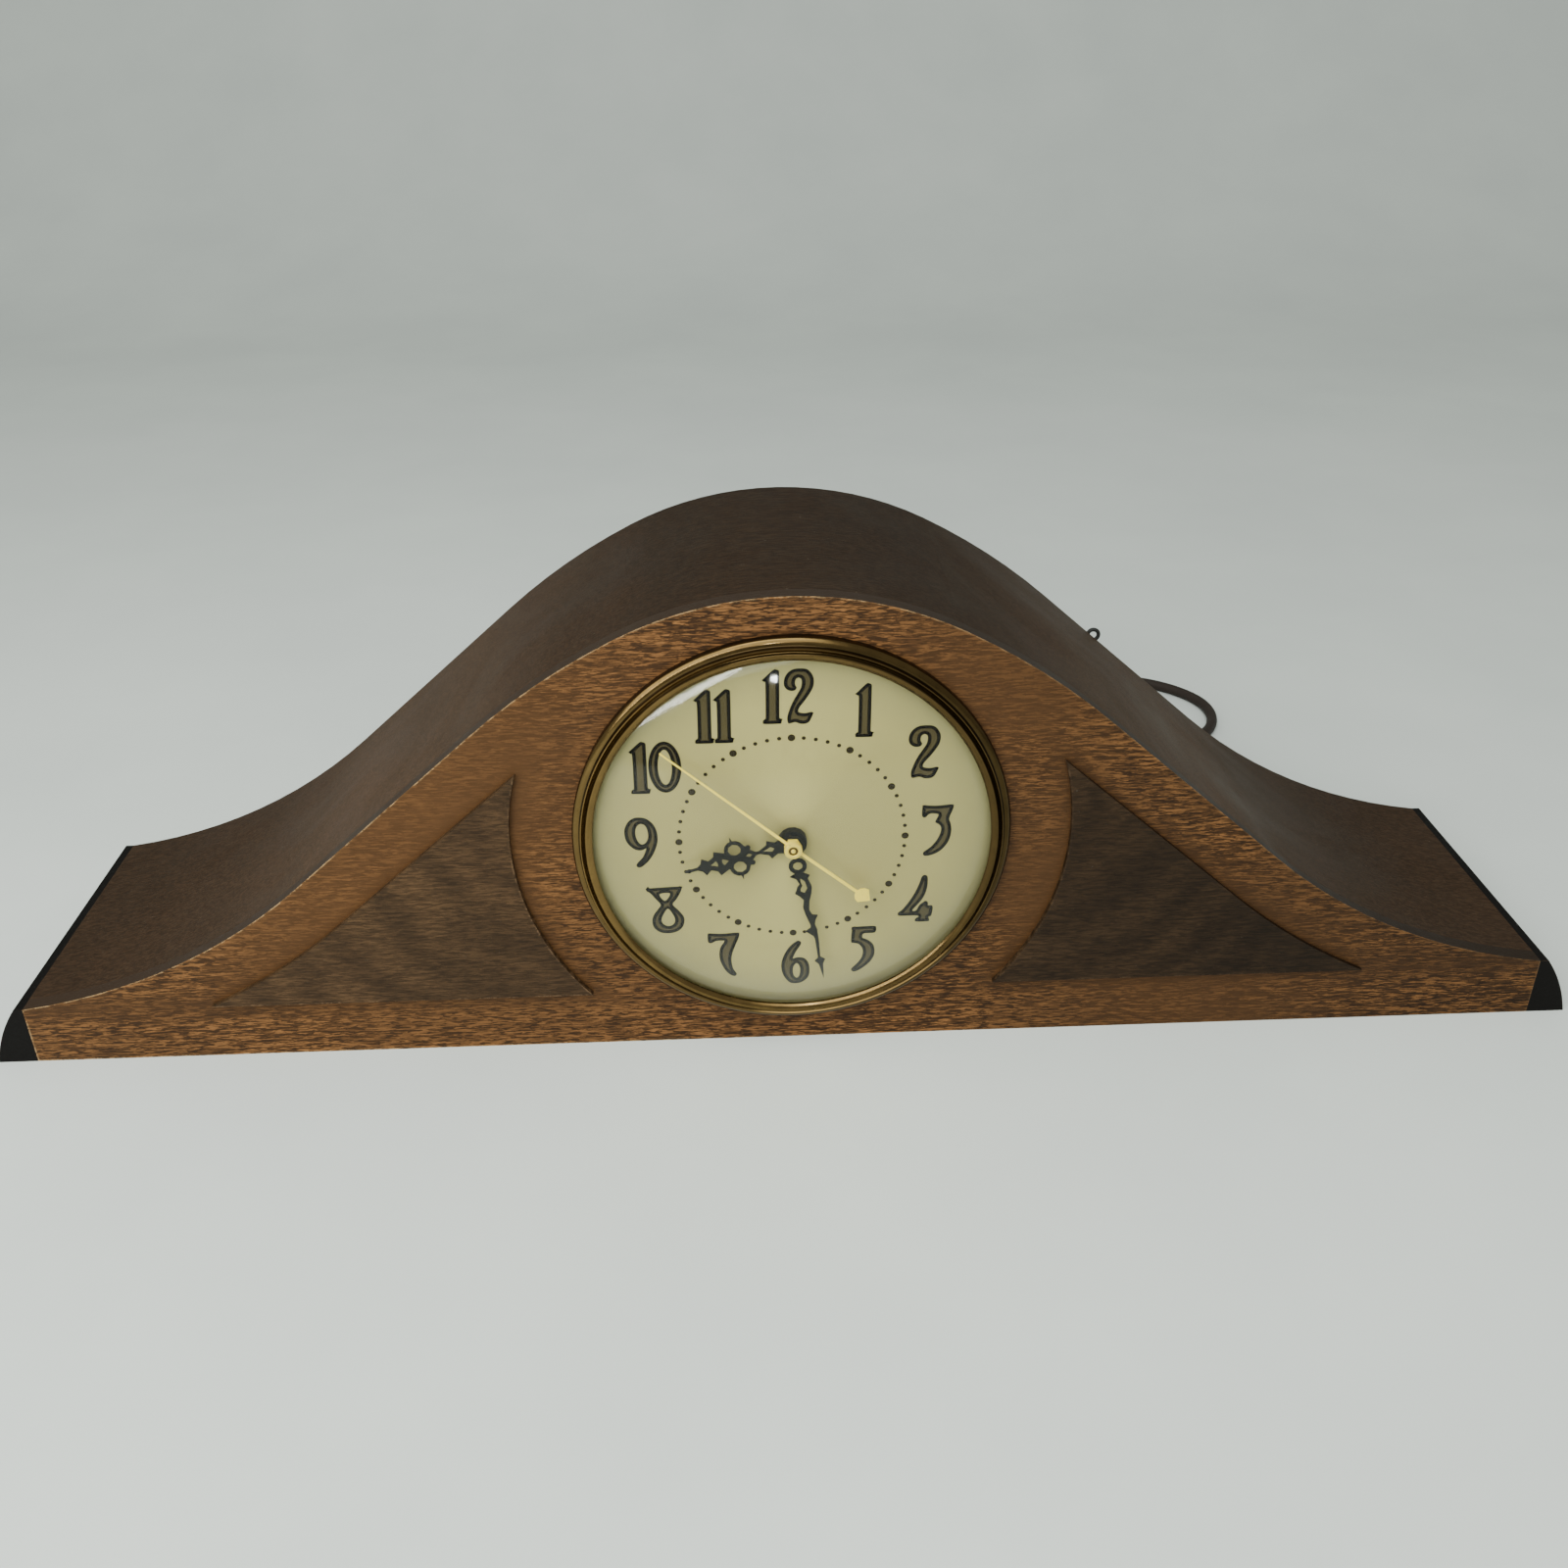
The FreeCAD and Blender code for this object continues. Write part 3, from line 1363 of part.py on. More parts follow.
def make_plug():
    """A moulded plug on the table at the end of the cord."""
    start, heading = coil_end()
    neck = turned_to(prism(plug_neck_radius, 0, 0, 0, plug_neck_length, gland_sides), 0, 0, 0, vec(1, 0, 0))
    half = plug_width / 2
    near = plug_neck_length
    far = plug_neck_length + plug_length
    cut_off = plug_chamfer
    corners = [vec(near, -half + cut_off, -start.z), vec(near + cut_off, -half, -start.z),
               vec(far, -half, -start.z), vec(far, half, -start.z), vec(near + cut_off, half, -start.z),
               vec(near, half - cut_off, -start.z)]
    body = Part.Face(Part.makePolygon(corners + corners[:1])).extrude(vec(0, 0, plug_height))
    return lie_along(joined([neck, body]), heading, start)


def make_blades():
    start, heading = coil_end()
    near = plug_neck_length + plug_length
    low = plug_height / 2 - blade_width / 2 - start.z
    blades = []
    for side in (-1, 1):
        across = side * blade_spacing / 2 - blade_metal / 2
        blades.append(box(near, near + blade_length, across, across + blade_metal, low, low + blade_width))
    return group([lie_along(blade, heading, start) for blade in blades])


def make_nodes():
    """Every piece of the clock by its name."""
    nodes = {
        "front_board": make_front_board(),
        "cover": make_cover(),
        "base_board": make_base_board(),
        "glue_blocks": make_glue_blocks(),
        "end_block_left": make_end_block(-1),
        "end_block_right": make_end_block(1),
        "overlay_left": make_overlay(-1),
        "overlay_right": make_overlay(1),
        "bezel": make_bezel(),
        "glass": make_glass(),
        "dial_plate": make_dial(),
        "hour_hand": make_hour_hand(),
        "minute_hand": make_minute_hand(),
        "second_hand": make_second_hand(),
        "hand_nut": make_hand_nut(),
        "seconds_arbor": make_seconds_arbor(),
        "third_arbor": make_third_arbor(),
        "third_wheel": make_third_wheel(),
        "centre_wheel": make_centre_wheel(),
        "cannon_pinion": make_cannon_pinion(),
        "clutch_spring": make_clutch_spring(),
        "hour_wheel": make_hour_wheel(),
        "minute_wheel": make_minute_wheel(),
        "minute_stud": make_minute_stud(),
        "set_arbor": make_set_arbor(),
        "set_knob": make_set_knob(),
        "front_plate": make_front_plate(),
        "back_plate": make_back_plate(),
        "pillars": make_pillars(),
        "movement_spacers": make_spacers(),
        "movement_screws": make_movement_screws(),
        "motor_can": make_motor_can(),
        "motor_core": make_core(),
        "core_posts": make_core_posts(),
        "motor_winding": make_winding(),
        "chime_drum": make_drum(),
        "drum_wheel": make_drum_wheel(),
        "chime_fly": make_fly(),
        "hammer_arbor": make_hammer_arbor(),
        "hammer_collars": make_collars(),
        "chime_rods": make_rods(),
        "rod_block": make_rod_block(),
        "rod_block_screws": make_block_screws(),
        "back_board": make_back_board(),
        "back_panel": make_back_panel(),
        "back_panel_screws": make_panel_screws(),
        "cord_gland": make_gland(),
        "silence_lever": make_lever(),
        "power_cord": make_cord(),
        "cord_coil": make_cord_coil(),
        "plug": make_plug(),
        "plug_blades": make_blades(),
    }
    for i, y in enumerate(track_places):
        nodes["hammer_%d" % (i + 1)] = make_hammer(y)
    return nodes


def main():
    os.makedirs("parts", exist_ok=True)
    nodes = make_nodes()
    for name, shape in nodes.items():
        if not shape.isValid():
            print("not valid", name)
        shape.exportStep("parts/%s.step" % name)
    print(len(nodes), "nodes")


main()
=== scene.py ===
import json
import math

import bmesh
import bpy
from mathutils import Matrix, Vector, geometry


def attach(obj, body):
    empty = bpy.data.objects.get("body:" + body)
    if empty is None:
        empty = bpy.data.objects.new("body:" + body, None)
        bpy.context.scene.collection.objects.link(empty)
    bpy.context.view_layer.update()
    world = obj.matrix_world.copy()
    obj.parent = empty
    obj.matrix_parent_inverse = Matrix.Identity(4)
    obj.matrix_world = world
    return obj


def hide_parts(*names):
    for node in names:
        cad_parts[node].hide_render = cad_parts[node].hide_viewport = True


bl_info = {
    "name": "Humped Mantel Clock",
    "version": (1, 0, 0),
    "blender": (4, 5, 0),
    "location": "View3D > Sidebar > Clock",
    "description": "Builds the looks of a humped chiming mantel clock round its packed frame",
    "category": "Object",
}

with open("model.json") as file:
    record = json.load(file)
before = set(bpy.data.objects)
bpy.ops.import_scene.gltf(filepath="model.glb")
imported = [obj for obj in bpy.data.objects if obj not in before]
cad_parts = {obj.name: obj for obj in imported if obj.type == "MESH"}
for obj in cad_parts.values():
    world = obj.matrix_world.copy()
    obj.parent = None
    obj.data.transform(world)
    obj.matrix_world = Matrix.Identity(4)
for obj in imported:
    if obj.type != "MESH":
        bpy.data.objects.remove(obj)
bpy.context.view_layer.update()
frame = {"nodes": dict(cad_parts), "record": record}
MM = 0.001

# Heights and planes of the frame, in millimetres: y is nought in the case's middle and less in front of it
DIAL_HEIGHT = 81.7
WOOD_FACE = -54.0
PRINT_PLANE = -55.64
SECOND_PLANE = -63.3
PANEL_BACK = 53.0
DOT_CIRCLE = 36.7
LEVER_PIVOT = (104.0, 86.0)
KNOB_AXIS = (17.82, 94.18)
PLUG_ACROSS = 230.65

# The raised panels' outline in metres: its circle about the dial, its foot, and the flank's cubic in x
OVERLAY_CIRCLE = 0.091
OVERLAY_FOOT = 0.022
FLANK_CUBIC = (21.979, -7.5565, -0.02512, 0.15266)
FLANK_SLOPE = 0.76

# Darker spots of the front board: across, up and reach in metres
FRONT_SPOTS = ((-0.1, 0.118, 0.06), (-0.15, 0.066, 0.055), (0.065, 0.132, 0.045), (0.14, 0.012, 0.06),
               (0.085, 0.06, 0.035))

# Numerals: closed outlines in millimetres about their own middle
GLYPHS = {
    "1": [
        [(-2.7, 5.6), (-2.5, 6.3), (0.5, 9.1), (1.4, 9.2), (2.3, 8.7), (2.4, 6.8), (2.3, -6.5), (2.4,
         -7.2), (3, -7.9), (2.9, -8.9), (2.3, -9.2), (-2.3, -9.2), (-3, -8.9), (-2.9, -8), (-2.3, -7.4),
         (-2.1, -6.5), (-2, 4.4), (-2.3, 5)],
    ],
    "2": [
        [(-5, 5.2), (-4.9, 3.7), (-4.1, 2.5), (-2.7, 1.9), (-1.3, 2.1), (-0.7, 3), (-1.1, 3.7), (-1.3,
         4.7), (-0.9, 5.9), (0, 6.3), (0.8, 5.8), (1, 4.7), (0.7, 3), (-0.4, 1), (-2, -1.7), (-3.1,
         -4.2), (-3.9, -6.7), (-3.9, -8.4), (-3.3, -9.2), (-1.3, -8.8), (0.4, -9.4), (2.2, -9.4), (3.5,
         -8.7), (4.5, -6.7), (4.8, -5.7), (4, -5.4), (2.7, -5.7), (1.1, -5.7), (-0.2, -5.2), (0.2, -3.7),
         (1.8, -1.7), (3.5, 0.7), (4.8, 3.2), (5, 5.7), (4.2, 7.7), (2.7, 9.1), (0.4, 9.4), (-1.8, 9.2),
         (-3.5, 8.2), (-4.6, 6.7)],
    ],
    "3": [
        [(-5, 9.1), (-4.6, 9.5), (-0.5, 9.2), (4.4, 9.6), (5.1, 9.1), (4.8, 7.5), (3.8, 4.4), (4.4, 2.3),
         (4.7, -0.3), (4.2, -3.4), (3.1, -5.7), (1.3, -7.8), (-1, -9.1), (-3.2, -9.6), (-4.1, -9.2),
         (-4.2, -8.3), (-3.4, -7.5), (-1.6, -6), (0.2, -3.4), (1.2, -0.8), (1.3, 1), (0.5, 2.3), (-0.5,
         2.9), (-0.6, 3.6), (0.2, 5.4), (0, 6.1), (-1.9, 6.4), (-3, 6), (-3.9, 5), (-4.8, 5.2), (-5.1,
         6.1)],
    ],
    "4": [
        [(2.4, 9.2), (3.3, 9), (3.7, 8), (3.7, 5), (3, 1.7), (1.6, -1.1), (-1, -4.5), (0.2, -4.7), (1.2,
         -2.7), (2.4, -1.6), (3.4, -1), (4.1, -1.7), (4.2, -2.8), (5.3, -2.8), (5.8, -3.7), (5.4, -6.9),
         (4.5, -7.4), (4.8, -8.7), (4.1, -9.2), (0.5, -9.2), (-0.1, -8.5), (0.3, -7.8), (1.1, -7.2), (0,
         -6.7), (-5, -6.7), (-5.8, -6.2), (-5.8, -5.4), (-4.3, -4.1), (-1.9, -0.5), (-0.1, 3.1), (1.1,
         6.4), (1.6, 8.3)],
    ],
    "5": [
        [(-3.9, 8.5), (-3.4, 9.1), (3.3, 9.3), (4.2, 8.5), (4.1, 7.2), (3.3, 6.5), (0.3, 6.4), (-0.4,
         5.6), (-0.3, 4.6), (1.3, 3.8), (3.1, 2.1), (3.8, -0.3), (3.6, -2.9), (2.3, -5.3), (0.3, -7.4),
         (-1.7, -8.8), (-3.2, -9.3), (-4, -8.7), (-3.9, -7.8), (-2.7, -6.5), (-0.9, -4.1), (-0.2, -1.8),
         (-0.4, 0.3), (-1.7, 2.1), (-3.4, 2.6), (-4.2, 3.2)],
    ],
    "6": [
        [(1.1, 8.8), (1.9, 8.3), (1.8, 7.1), (0.4, 4.8), (-0.6, 2.5), (-0.8, 1.6), (0.8, 2), (3, 1.6),
         (4.4, -0.4), (4.8, -3.1), (4.4, -6), (2.7, -8), (0.6, -8.8), (-1.8, -8.5), (-3.7, -6.2), (-4.7,
         -3.3), (-4.8, -0.4), (-4.1, 2.5), (-2.7, 5.4), (-1.1, 7.4), (0.4, 8.6)],
        [(0.4, -0.4), (-0.6, -1.6), (-0.9, -3.3), (-0.6, -5.4), (0.4, -6.5), (1.3, -5.4), (1.6, -3.3),
         (1.3, -1.5)],
    ],
    "7": [
        [(-5.3, 8.4), (-4.7, 8.9), (-0.6, 8.6), (4.7, 8.9), (5.3, 8.3), (5, 6.7), (3.8, 3.5), (2.8, 0.6),
         (2.4, -2.3), (2.9, -5.8), (4, -7.8), (3.8, -8.7), (3, -8.9), (1.6, -8.1), (-0.1, -5.8), (-1.4,
         -2.3), (-1.6, 0.6), (-1.1, 3.2), (0.1, 5.2), (0, 5.8), (-2.3, 5.8), (-4, 5), (-4.8, 5), (-5.3,
         5.8)],
    ],
    "8": [
        [(-6, 8.5), (-5.3, 8.8), (5, 9.2), (5.6, 8.5), (5.2, 7.1), (3.8, 4.4), (2.4, 2.3), (4, 0.1),
         (5.7, -2.4), (6, -4.5), (5.2, -7), (3.3, -8.6), (0.8, -9.2), (-2, -8.8), (-4.1, -7), (-4.7,
         -4.3), (-4.1, -1.8), (-2.5, 0.6), (-1.6, 2.3), (-3, 4.4), (-4.8, 6.9), (-5.9, 7.7)],
        [(-1.8, 6.4), (1.7, 6.6), (-0.1, 3.7)],
        [(0.7, 0.6), (-1.1, -2.1), (-1.6, -4), (-0.9, -5.6), (0.7, -6.3), (2.3, -5.6), (2.9, -3.9), (2.3,
         -1.8)],
    ],
    "9": [
        [(-1, 9.4), (1.7, 9), (4, 6.9), (5.2, 3.8), (5.2, 0.1), (4, -3.6), (2.2, -6.7), (-0.1, -9),
         (-1.3, -9.4), (-2.1, -8.8), (-1.7, -7.7), (0.1, -5.6), (1, -3.6), (1.4, -2.2), (-0.1, -2.9),
         (-2.2, -2.5), (-4.3, -0.4), (-5.2, 2.2), (-5.1, 5.3), (-3.8, 7.9), (-2.4, 9)],
        [(-0.3, 6.9), (-1.5, 5.3), (-1.7, 2.7), (-1, 0.4), (0.1, -0.7), (1.5, 0.1), (2.3, 2.2), (2.1,
         4.8), (1.3, 6.5)],
    ],
}

# Where each numeral stands: its outline, its middle across and up from the dial's centre, its width share
NUMERALS = {
    "n12": [("1", -5.9, 50.9, 0.97), ("2", 2.4, 50.9, 0.92)],
    "n1": [("1", 22.7, 45.5, 0.9)],
    "n2": [("2", 41.8, 30.4, 1.0)],
    "n3": [("3", 47.0, 1.6, 1.0)],
    "n4": [("4", 41.0, -24.6, 1.0)],
    "n5": [("5", 23.8, -44.3, 1.0)],
    "n6": [("6", 0.7, -48.9, 1.0)],
    "n7": [("7", -23.4, -44.9, 1.0)],
    "n8": [("8", -42.2, -26.2, 1.0)],
    "n9": [("9", -48.8, 0.2, 1.0)],
    "n10": [("1", -47.9, 27.4, 1.0), ("0", -39.9, 27.5, 1.0)],
    "n11": [("1", -27.1, 44.7, 0.97), ("1", -21.0, 44.7, 0.97)],
}

# The cord's own points, from its bush in the back to where the coil begins, in metres
CORD_POINTS = [
    (0.070, 0.0586, 0.040), (0.070, 0.077, 0.040), (0.075, 0.099, 0.028), (0.093, 0.120, 0.008),
    (0.123, 0.137, 0.0026), (0.158, 0.146, 0.0026), (0.192, 0.151, 0.0026), (0.217, 0.169, 0.0026),
    (0.222, 0.199, 0.0026), (0.202, 0.224, 0.0026), (0.170, 0.233, 0.0026), (0.140, 0.235, 0.0026),
    (0.106, 0.2325, 0.0026), (0.082, 0.2297, 0.0026),
]


def colour(red, green, blue):
    """A colour as read on a screen, from 0 to 255, as the linear value that shaders take."""
    parts = [c / 255 for c in (red, green, blue)]
    return tuple(c / 12.92 if c <= 0.04045 else ((c + 0.055) / 1.055) ** 2.4 for c in parts) + (1.0,)


class ClockSizes(bpy.types.PropertyGroup):
    """Sizes of what is added round the frame."""
    grain: bpy.props.FloatProperty(name="Grain length", description="Length of the wood's streaks",
                                   default=0.12, unit="LENGTH")
    arris: bpy.props.FloatProperty(name="Worn edge", description="Rounding of the wooden edges",
                                   default=0.0005, unit="LENGTH")
    metal_edge: bpy.props.FloatProperty(name="Metal edge", description="Rounding of the metal edges",
                                        default=0.00012, unit="LENGTH")
    cord: bpy.props.FloatProperty(name="Cord", description="Diameter of the mains cord", default=0.005,
                                  unit="LENGTH")


class ClockColours(bpy.types.PropertyGroup):
    """Colours of the main finishes."""
    front: bpy.props.FloatVectorProperty(name="Front", description="Lacquered front board", size=4,
                                         subtype="COLOR", default=colour(136, 93, 53))
    cover: bpy.props.FloatVectorProperty(name="Cover", description="Bent cover", size=4, subtype="COLOR",
                                         default=colour(66, 49, 35))
    overlay: bpy.props.FloatVectorProperty(name="Overlays", description="Raised panels", size=4,
                                           subtype="COLOR", default=colour(72, 53, 34))
    dial: bpy.props.FloatVectorProperty(name="Dial", description="Champagne dial", size=4, subtype="COLOR",
                                        default=colour(190, 178, 118))


class Shader:
    """A short way to write a material's nodes."""

    def __init__(self, name):
        self.material = bpy.data.materials.new(name)
        self.material.use_nodes = True
        self.tree = self.material.node_tree
        self.tree.nodes.clear()
        self.output = self.tree.nodes.new("ShaderNodeOutputMaterial")
        self.place = self.add("TexCoord").outputs["Object"]

    def add(self, kind, sockets=None, **settings):
        node = self.tree.nodes.new("ShaderNode" + kind)
        for key, value in settings.items():
            setattr(node, key, value)
        for key, value in (sockets or {}).items():
            self.feed(node.inputs[key], value)
        return node

    def feed(self, socket, value):
        if isinstance(value, bpy.types.NodeSocket):
            self.tree.links.new(value, socket)
        else:
            socket.default_value = value

    def stretch(self, scale, place=None, turn=(0, 0, 0)):
        sockets = {"Vector": place or self.place, "Scale": scale, "Rotation": turn}
        return self.add("Mapping", sockets).outputs[0]

    def noise(self, place, scale=1.0, detail=4.0, rough=0.55, twist=0.0):
        return self.add("TexNoise", {"Vector": place, "Scale": scale, "Detail": detail, "Roughness": rough,
                                     "Distortion": twist}).outputs[0]

    def ramp(self, value, stops):
        node = self.add("ValToRGB", {"Fac": value})
        while len(node.color_ramp.elements) < len(stops):
            node.color_ramp.elements.new(0.5)
        for element, (place, tone) in zip(node.color_ramp.elements, stops):
            element.position = place
            element.color = (tone, tone, tone, 1) if isinstance(tone, (int, float)) else tone
        return node.outputs[0]

    def sum(self, a, b, how="ADD"):
        return self.add("Math", {0: a, 1: b}, operation=how).outputs[0]

    def mix(self, share, a, b, how="MIX"):
        node = self.add("Mix", data_type="RGBA", blend_type=how)
        self.feed(node.inputs[0], share)
        self.feed(node.inputs[6], a)
        self.feed(node.inputs[7], b)
        return node.outputs[2]

    def bump(self, height, strength, distance):
        return self.add("Bump", {"Height": height, "Strength": strength, "Distance": distance}).outputs[0]

    def slide(self, start, end, first, last):
        """A value that goes from first to last between two places along the clock's length, in metres."""
        across = self.add("SeparateXYZ", {0: self.place}).outputs[0]
        return self.add("MapRange", {"Value": across, "From Min": start, "From Max": end, "To Min": first,
                                     "To Max": last}).outputs[0]

    def from_dial(self):
        """Places counted from the dial's centre."""
        middle = (0, 0, DIAL_HEIGHT * MM)
        return self.add("VectorMath", {0: self.place, 1: middle}, operation="SUBTRACT").outputs[0]

    def grey(self, value):
        return self.add("CombineColor", {0: value, 1: value, 2: value}).outputs[0]

    def worn(self, reach=0.0005):
        """One where the surface has a sharp edge, from rounded and true normals."""
        soft = self.add("Bevel", {"Radius": reach}, samples=4).outputs[0]
        true = self.add("NewGeometry").outputs["Normal"]
        same = self.add("VectorMath", {0: soft, 1: true}, operation="DOT_PRODUCT").outputs["Value"]
        return self.ramp(same, [(0.75, 1), (0.985, 0)])

    def finish(self, **sockets):
        names = {"base": "Base Color", "rough": "Roughness", "metal": "Metallic", "normal": "Normal",
                 "coat": "Coat Weight", "coat_rough": "Coat Roughness", "shine": "Specular IOR Level"}
        shader = self.add("BsdfPrincipled", {names[k]: v for k, v in sockets.items()})
        self.tree.links.new(shader.outputs[0], self.output.inputs[0])
        return self.material


def darker(tone, share):
    return (tone[0] * share, tone[1] * share, tone[2] * share, 1)


def outside_overlay(s):
    """How far a point of the front lies outside the raised panels: below nought inside them."""
    parts = s.add("SeparateXYZ", {0: s.place}).outputs
    across = s.sum(s.sum(parts[0], 0.0, "ABSOLUTE"), 0.2, "MINIMUM")
    up = s.sum(parts[2], DIAL_HEIGHT * MM, "SUBTRACT")
    ring = s.sum(s.sum(across, across, "MULTIPLY"), s.sum(up, up, "MULTIPLY"))
    circle = s.sum(OVERLAY_CIRCLE, s.sum(ring, 0.5, "POWER"), "SUBTRACT")
    foot = s.sum(OVERLAY_FOOT, parts[2], "SUBTRACT")
    flank = s.sum(across, FLANK_CUBIC[0], "MULTIPLY")
    for term in FLANK_CUBIC[1:3]:
        flank = s.sum(s.sum(flank, term), across, "MULTIPLY")
    flank = s.sum(s.sum(parts[2], s.sum(flank, FLANK_CUBIC[3]), "SUBTRACT"), FLANK_SLOPE, "MULTIPLY")
    low = s.sum(circle, foot, "MAXIMUM")
    return s.sum(low, flank, "MAXIMUM"), low


def wood(name, tone, pores=0.8, figure=0.3, gloss=0.4, wear=0.5, grain=0.75, dust_and_painted_light=0.0, curl=0.0, front=False,
         shine=0.2):
    """Open-grained wood with streaks, short dark pores, toned patches and lighter worn edges; it also paints
    shade darker towards the right on the front and its panels, darker on the front board's edge faces, and a
    sheen and shade by height on the cover.
    """
    s = Shader(name)
    length = bpy.context.scene.clock_sizes.grain
    broad = s.noise(s.stretch((0.6 / length, 9, 30)), 1, 4, 0.6, 0.5)
    streak = s.noise(s.stretch((15 / length, 900, 1100), turn=(0, 0.05, 0)), 1, 4, 0.72, 0.6)
    dash = s.noise(s.stretch((26 / length, 1200, 1700)), 1, 3, 0.6, 0.3)
    fibre = s.noise(s.stretch((40 / length, 3600, 4200)), 1, 2, 0.6)
    patch = s.noise(s.stretch((13, 13, 20)), 1, 4, 0.6, 0.7)
    if curl:
        parts = s.add("SeparateXYZ", {0: s.place}).outputs
        spot = s.add("CombineXYZ", {0: s.sum(s.sum(parts[0], 0.0, "ABSOLUTE"), 0.058, "SUBTRACT"),
                                    2: s.sum(parts[2], 0.098, "SUBTRACT")}).outputs[0]
        reach = s.add("VectorMath", {0: spot}, operation="LENGTH").outputs["Value"]
        wave = s.sum(reach, s.sum(s.noise(s.place, 18, 4, 0.5), 0.05, "MULTIPLY"))
        bands = s.sum(s.sum(wave, 330.0, "MULTIPLY"), 0.0, "SINE")
        soft = s.ramp(s.noise(s.place, 34, 3, 0.5), [(0.32, 0.2), (0.6, curl)])
        broad = s.sum(s.sum(s.sum(bands, soft, "MULTIPLY"), 0.22, "MULTIPLY"), s.sum(broad, 0.5, "MULTIPLY"))
        broad = s.sum(broad, 0.25)
    base = s.mix(s.ramp(broad, [(0.3, 0), (0.7, 1)]), darker(tone, 1 - figure), darker(tone, 1 + figure))
    base = s.mix(s.ramp(streak, [(0.47, grain), (0.54, 0)]), base, darker(tone, 0.1))
    base = s.mix(s.ramp(fibre, [(0.4, grain * 0.6), (0.6, 0)]), base, darker(tone, 0.35))
    base = s.mix(s.ramp(patch, [(0.36, figure * 2), (0.6, 0)]), base, darker(tone, 0.45))
    base = s.mix(s.ramp(dash, [(0.45, pores), (0.51, 0)]), base, darker(tone, 0.08))
    # Painted shade: the front board and its raised panels grow darker towards the right, as if lit from the
    # left
    painted_shade_to_right = s.grey(s.slide(-0.12, 0.26, 1.0 if front else 1.15, 0.12 if curl else 0.6))
    rub = s.ramp(s.noise(s.place, 160, 6, 0.75), [(0.46, 0.0), (0.6, wear)])
    base = s.mix(s.sum(s.worn(), rub, "MULTIPLY"), base, darker(tone, 2.0))
    if front or curl:
        out, low = outside_overlay(s)
        shake = s.sum(s.noise(s.place, 55, 4, 0.6), 0.006, "MULTIPLY")
        if front:
            near = s.ramp(s.sum(s.sum(out, shake), 90.0, "MULTIPLY"), [(0.2, 0.78), (1.0, 0.0)])
            base = s.mix(near, base, darker(tone, 0.2))
            for across, up, reach in FRONT_SPOTS:
                middle = (across, WOOD_FACE * MM, up)
                spot = s.add("VectorMath", {0: s.place, 1: middle}, operation="DISTANCE").outputs["Value"]
                spot = s.sum(spot, s.sum(s.noise(s.place, 30, 5, 0.65), reach, "MULTIPLY"))
                spot = s.ramp(s.sum(spot, 0.5 / reach, "MULTIPLY"), [(0.4, 0.7), (0.85, 0)])
                base = s.mix(spot, base, darker(tone, 0.3))
            # Faces that don't look forward, the board's top and edges, take the cover's stain at half its
            # brightness; the halving is painted shade on these faces
            true = s.add("NewGeometry").outputs["Normal"]
            ahead = s.sum(s.add("SeparateXYZ", {0: true}).outputs[1], -1.0, "MULTIPLY")
            stain_and_shade = darker(tuple(bpy.context.scene.clock_colours.cover), 0.5)
            base = s.mix(s.ramp(ahead, [(0.3, 1), (0.75, 0)]), base, stain_and_shade)
            lip = s.sum(s.ramp(ahead, [(0.3, 0), (0.6, 1)]), s.worn(0.0011), "MULTIPLY")
            lip = s.sum(lip, s.slide(-0.02, 0.1, 1.0, 0.2), "MULTIPLY")
            nicks = s.ramp(s.noise(s.place, 240, 5, 0.75), [(0.45, 0.05), (0.56, wear * 1.7)])
            base = s.mix(s.sum(lip, nicks, "MULTIPLY"), base, colour(206, 170, 122))
        else:
            line = s.ramp(s.sum(s.sum(low, 0.0009), 900.0, "MULTIPLY"), [(0.2, 0), (0.75, 1)])
            chips = s.ramp(s.noise(s.place, 330, 5, 0.8), [(0.5, 0), (0.6, 0.45)])
            base = s.mix(s.sum(line, chips, "MULTIPLY"), base, colour(120, 94, 68))
        # The painted shade towards the right is multiplied in here
        base = s.mix(1.0, base, painted_shade_to_right, "MULTIPLY")
    elif dust_and_painted_light:
        # Painted light and shade by height on the cover: darker at its foot and top, a painted sheen on its
        # flanks, and the whole then brightened 1.5 times
        rise = s.sum(s.add("SeparateXYZ", {0: s.place}).outputs[2], 1 / 0.165, "MULTIPLY")
        rise = s.ramp(rise, [(0.0, 0.55), (0.25, 0.6), (0.5, 0.95), (0.75, 0.8), (0.95, 0.4), (1.0, 0.4)])
        base = s.mix(1.0, base, rise, "MULTIPLY")
        base = s.mix(1.0, base, (1.5, 1.5, 1.5, 1), "MULTIPLY")
    dust = s.ramp(s.noise(s.place, 520, 3, 0.8), [(0.68, 0), (0.76, dust_and_painted_light)])
    base = s.mix(dust, base, colour(150, 142, 128))
    height = s.sum(s.sum(streak, 0.5, "MULTIPLY"), dash)
    rough = s.ramp(s.sum(patch, s.sum(fibre, 0.4, "MULTIPLY")), [(0.4, gloss), (0.9, gloss + 0.22)])
    return s.finish(base=base, rough=rough, normal=s.bump(height, 0.35, 0.00016), shine=shine)


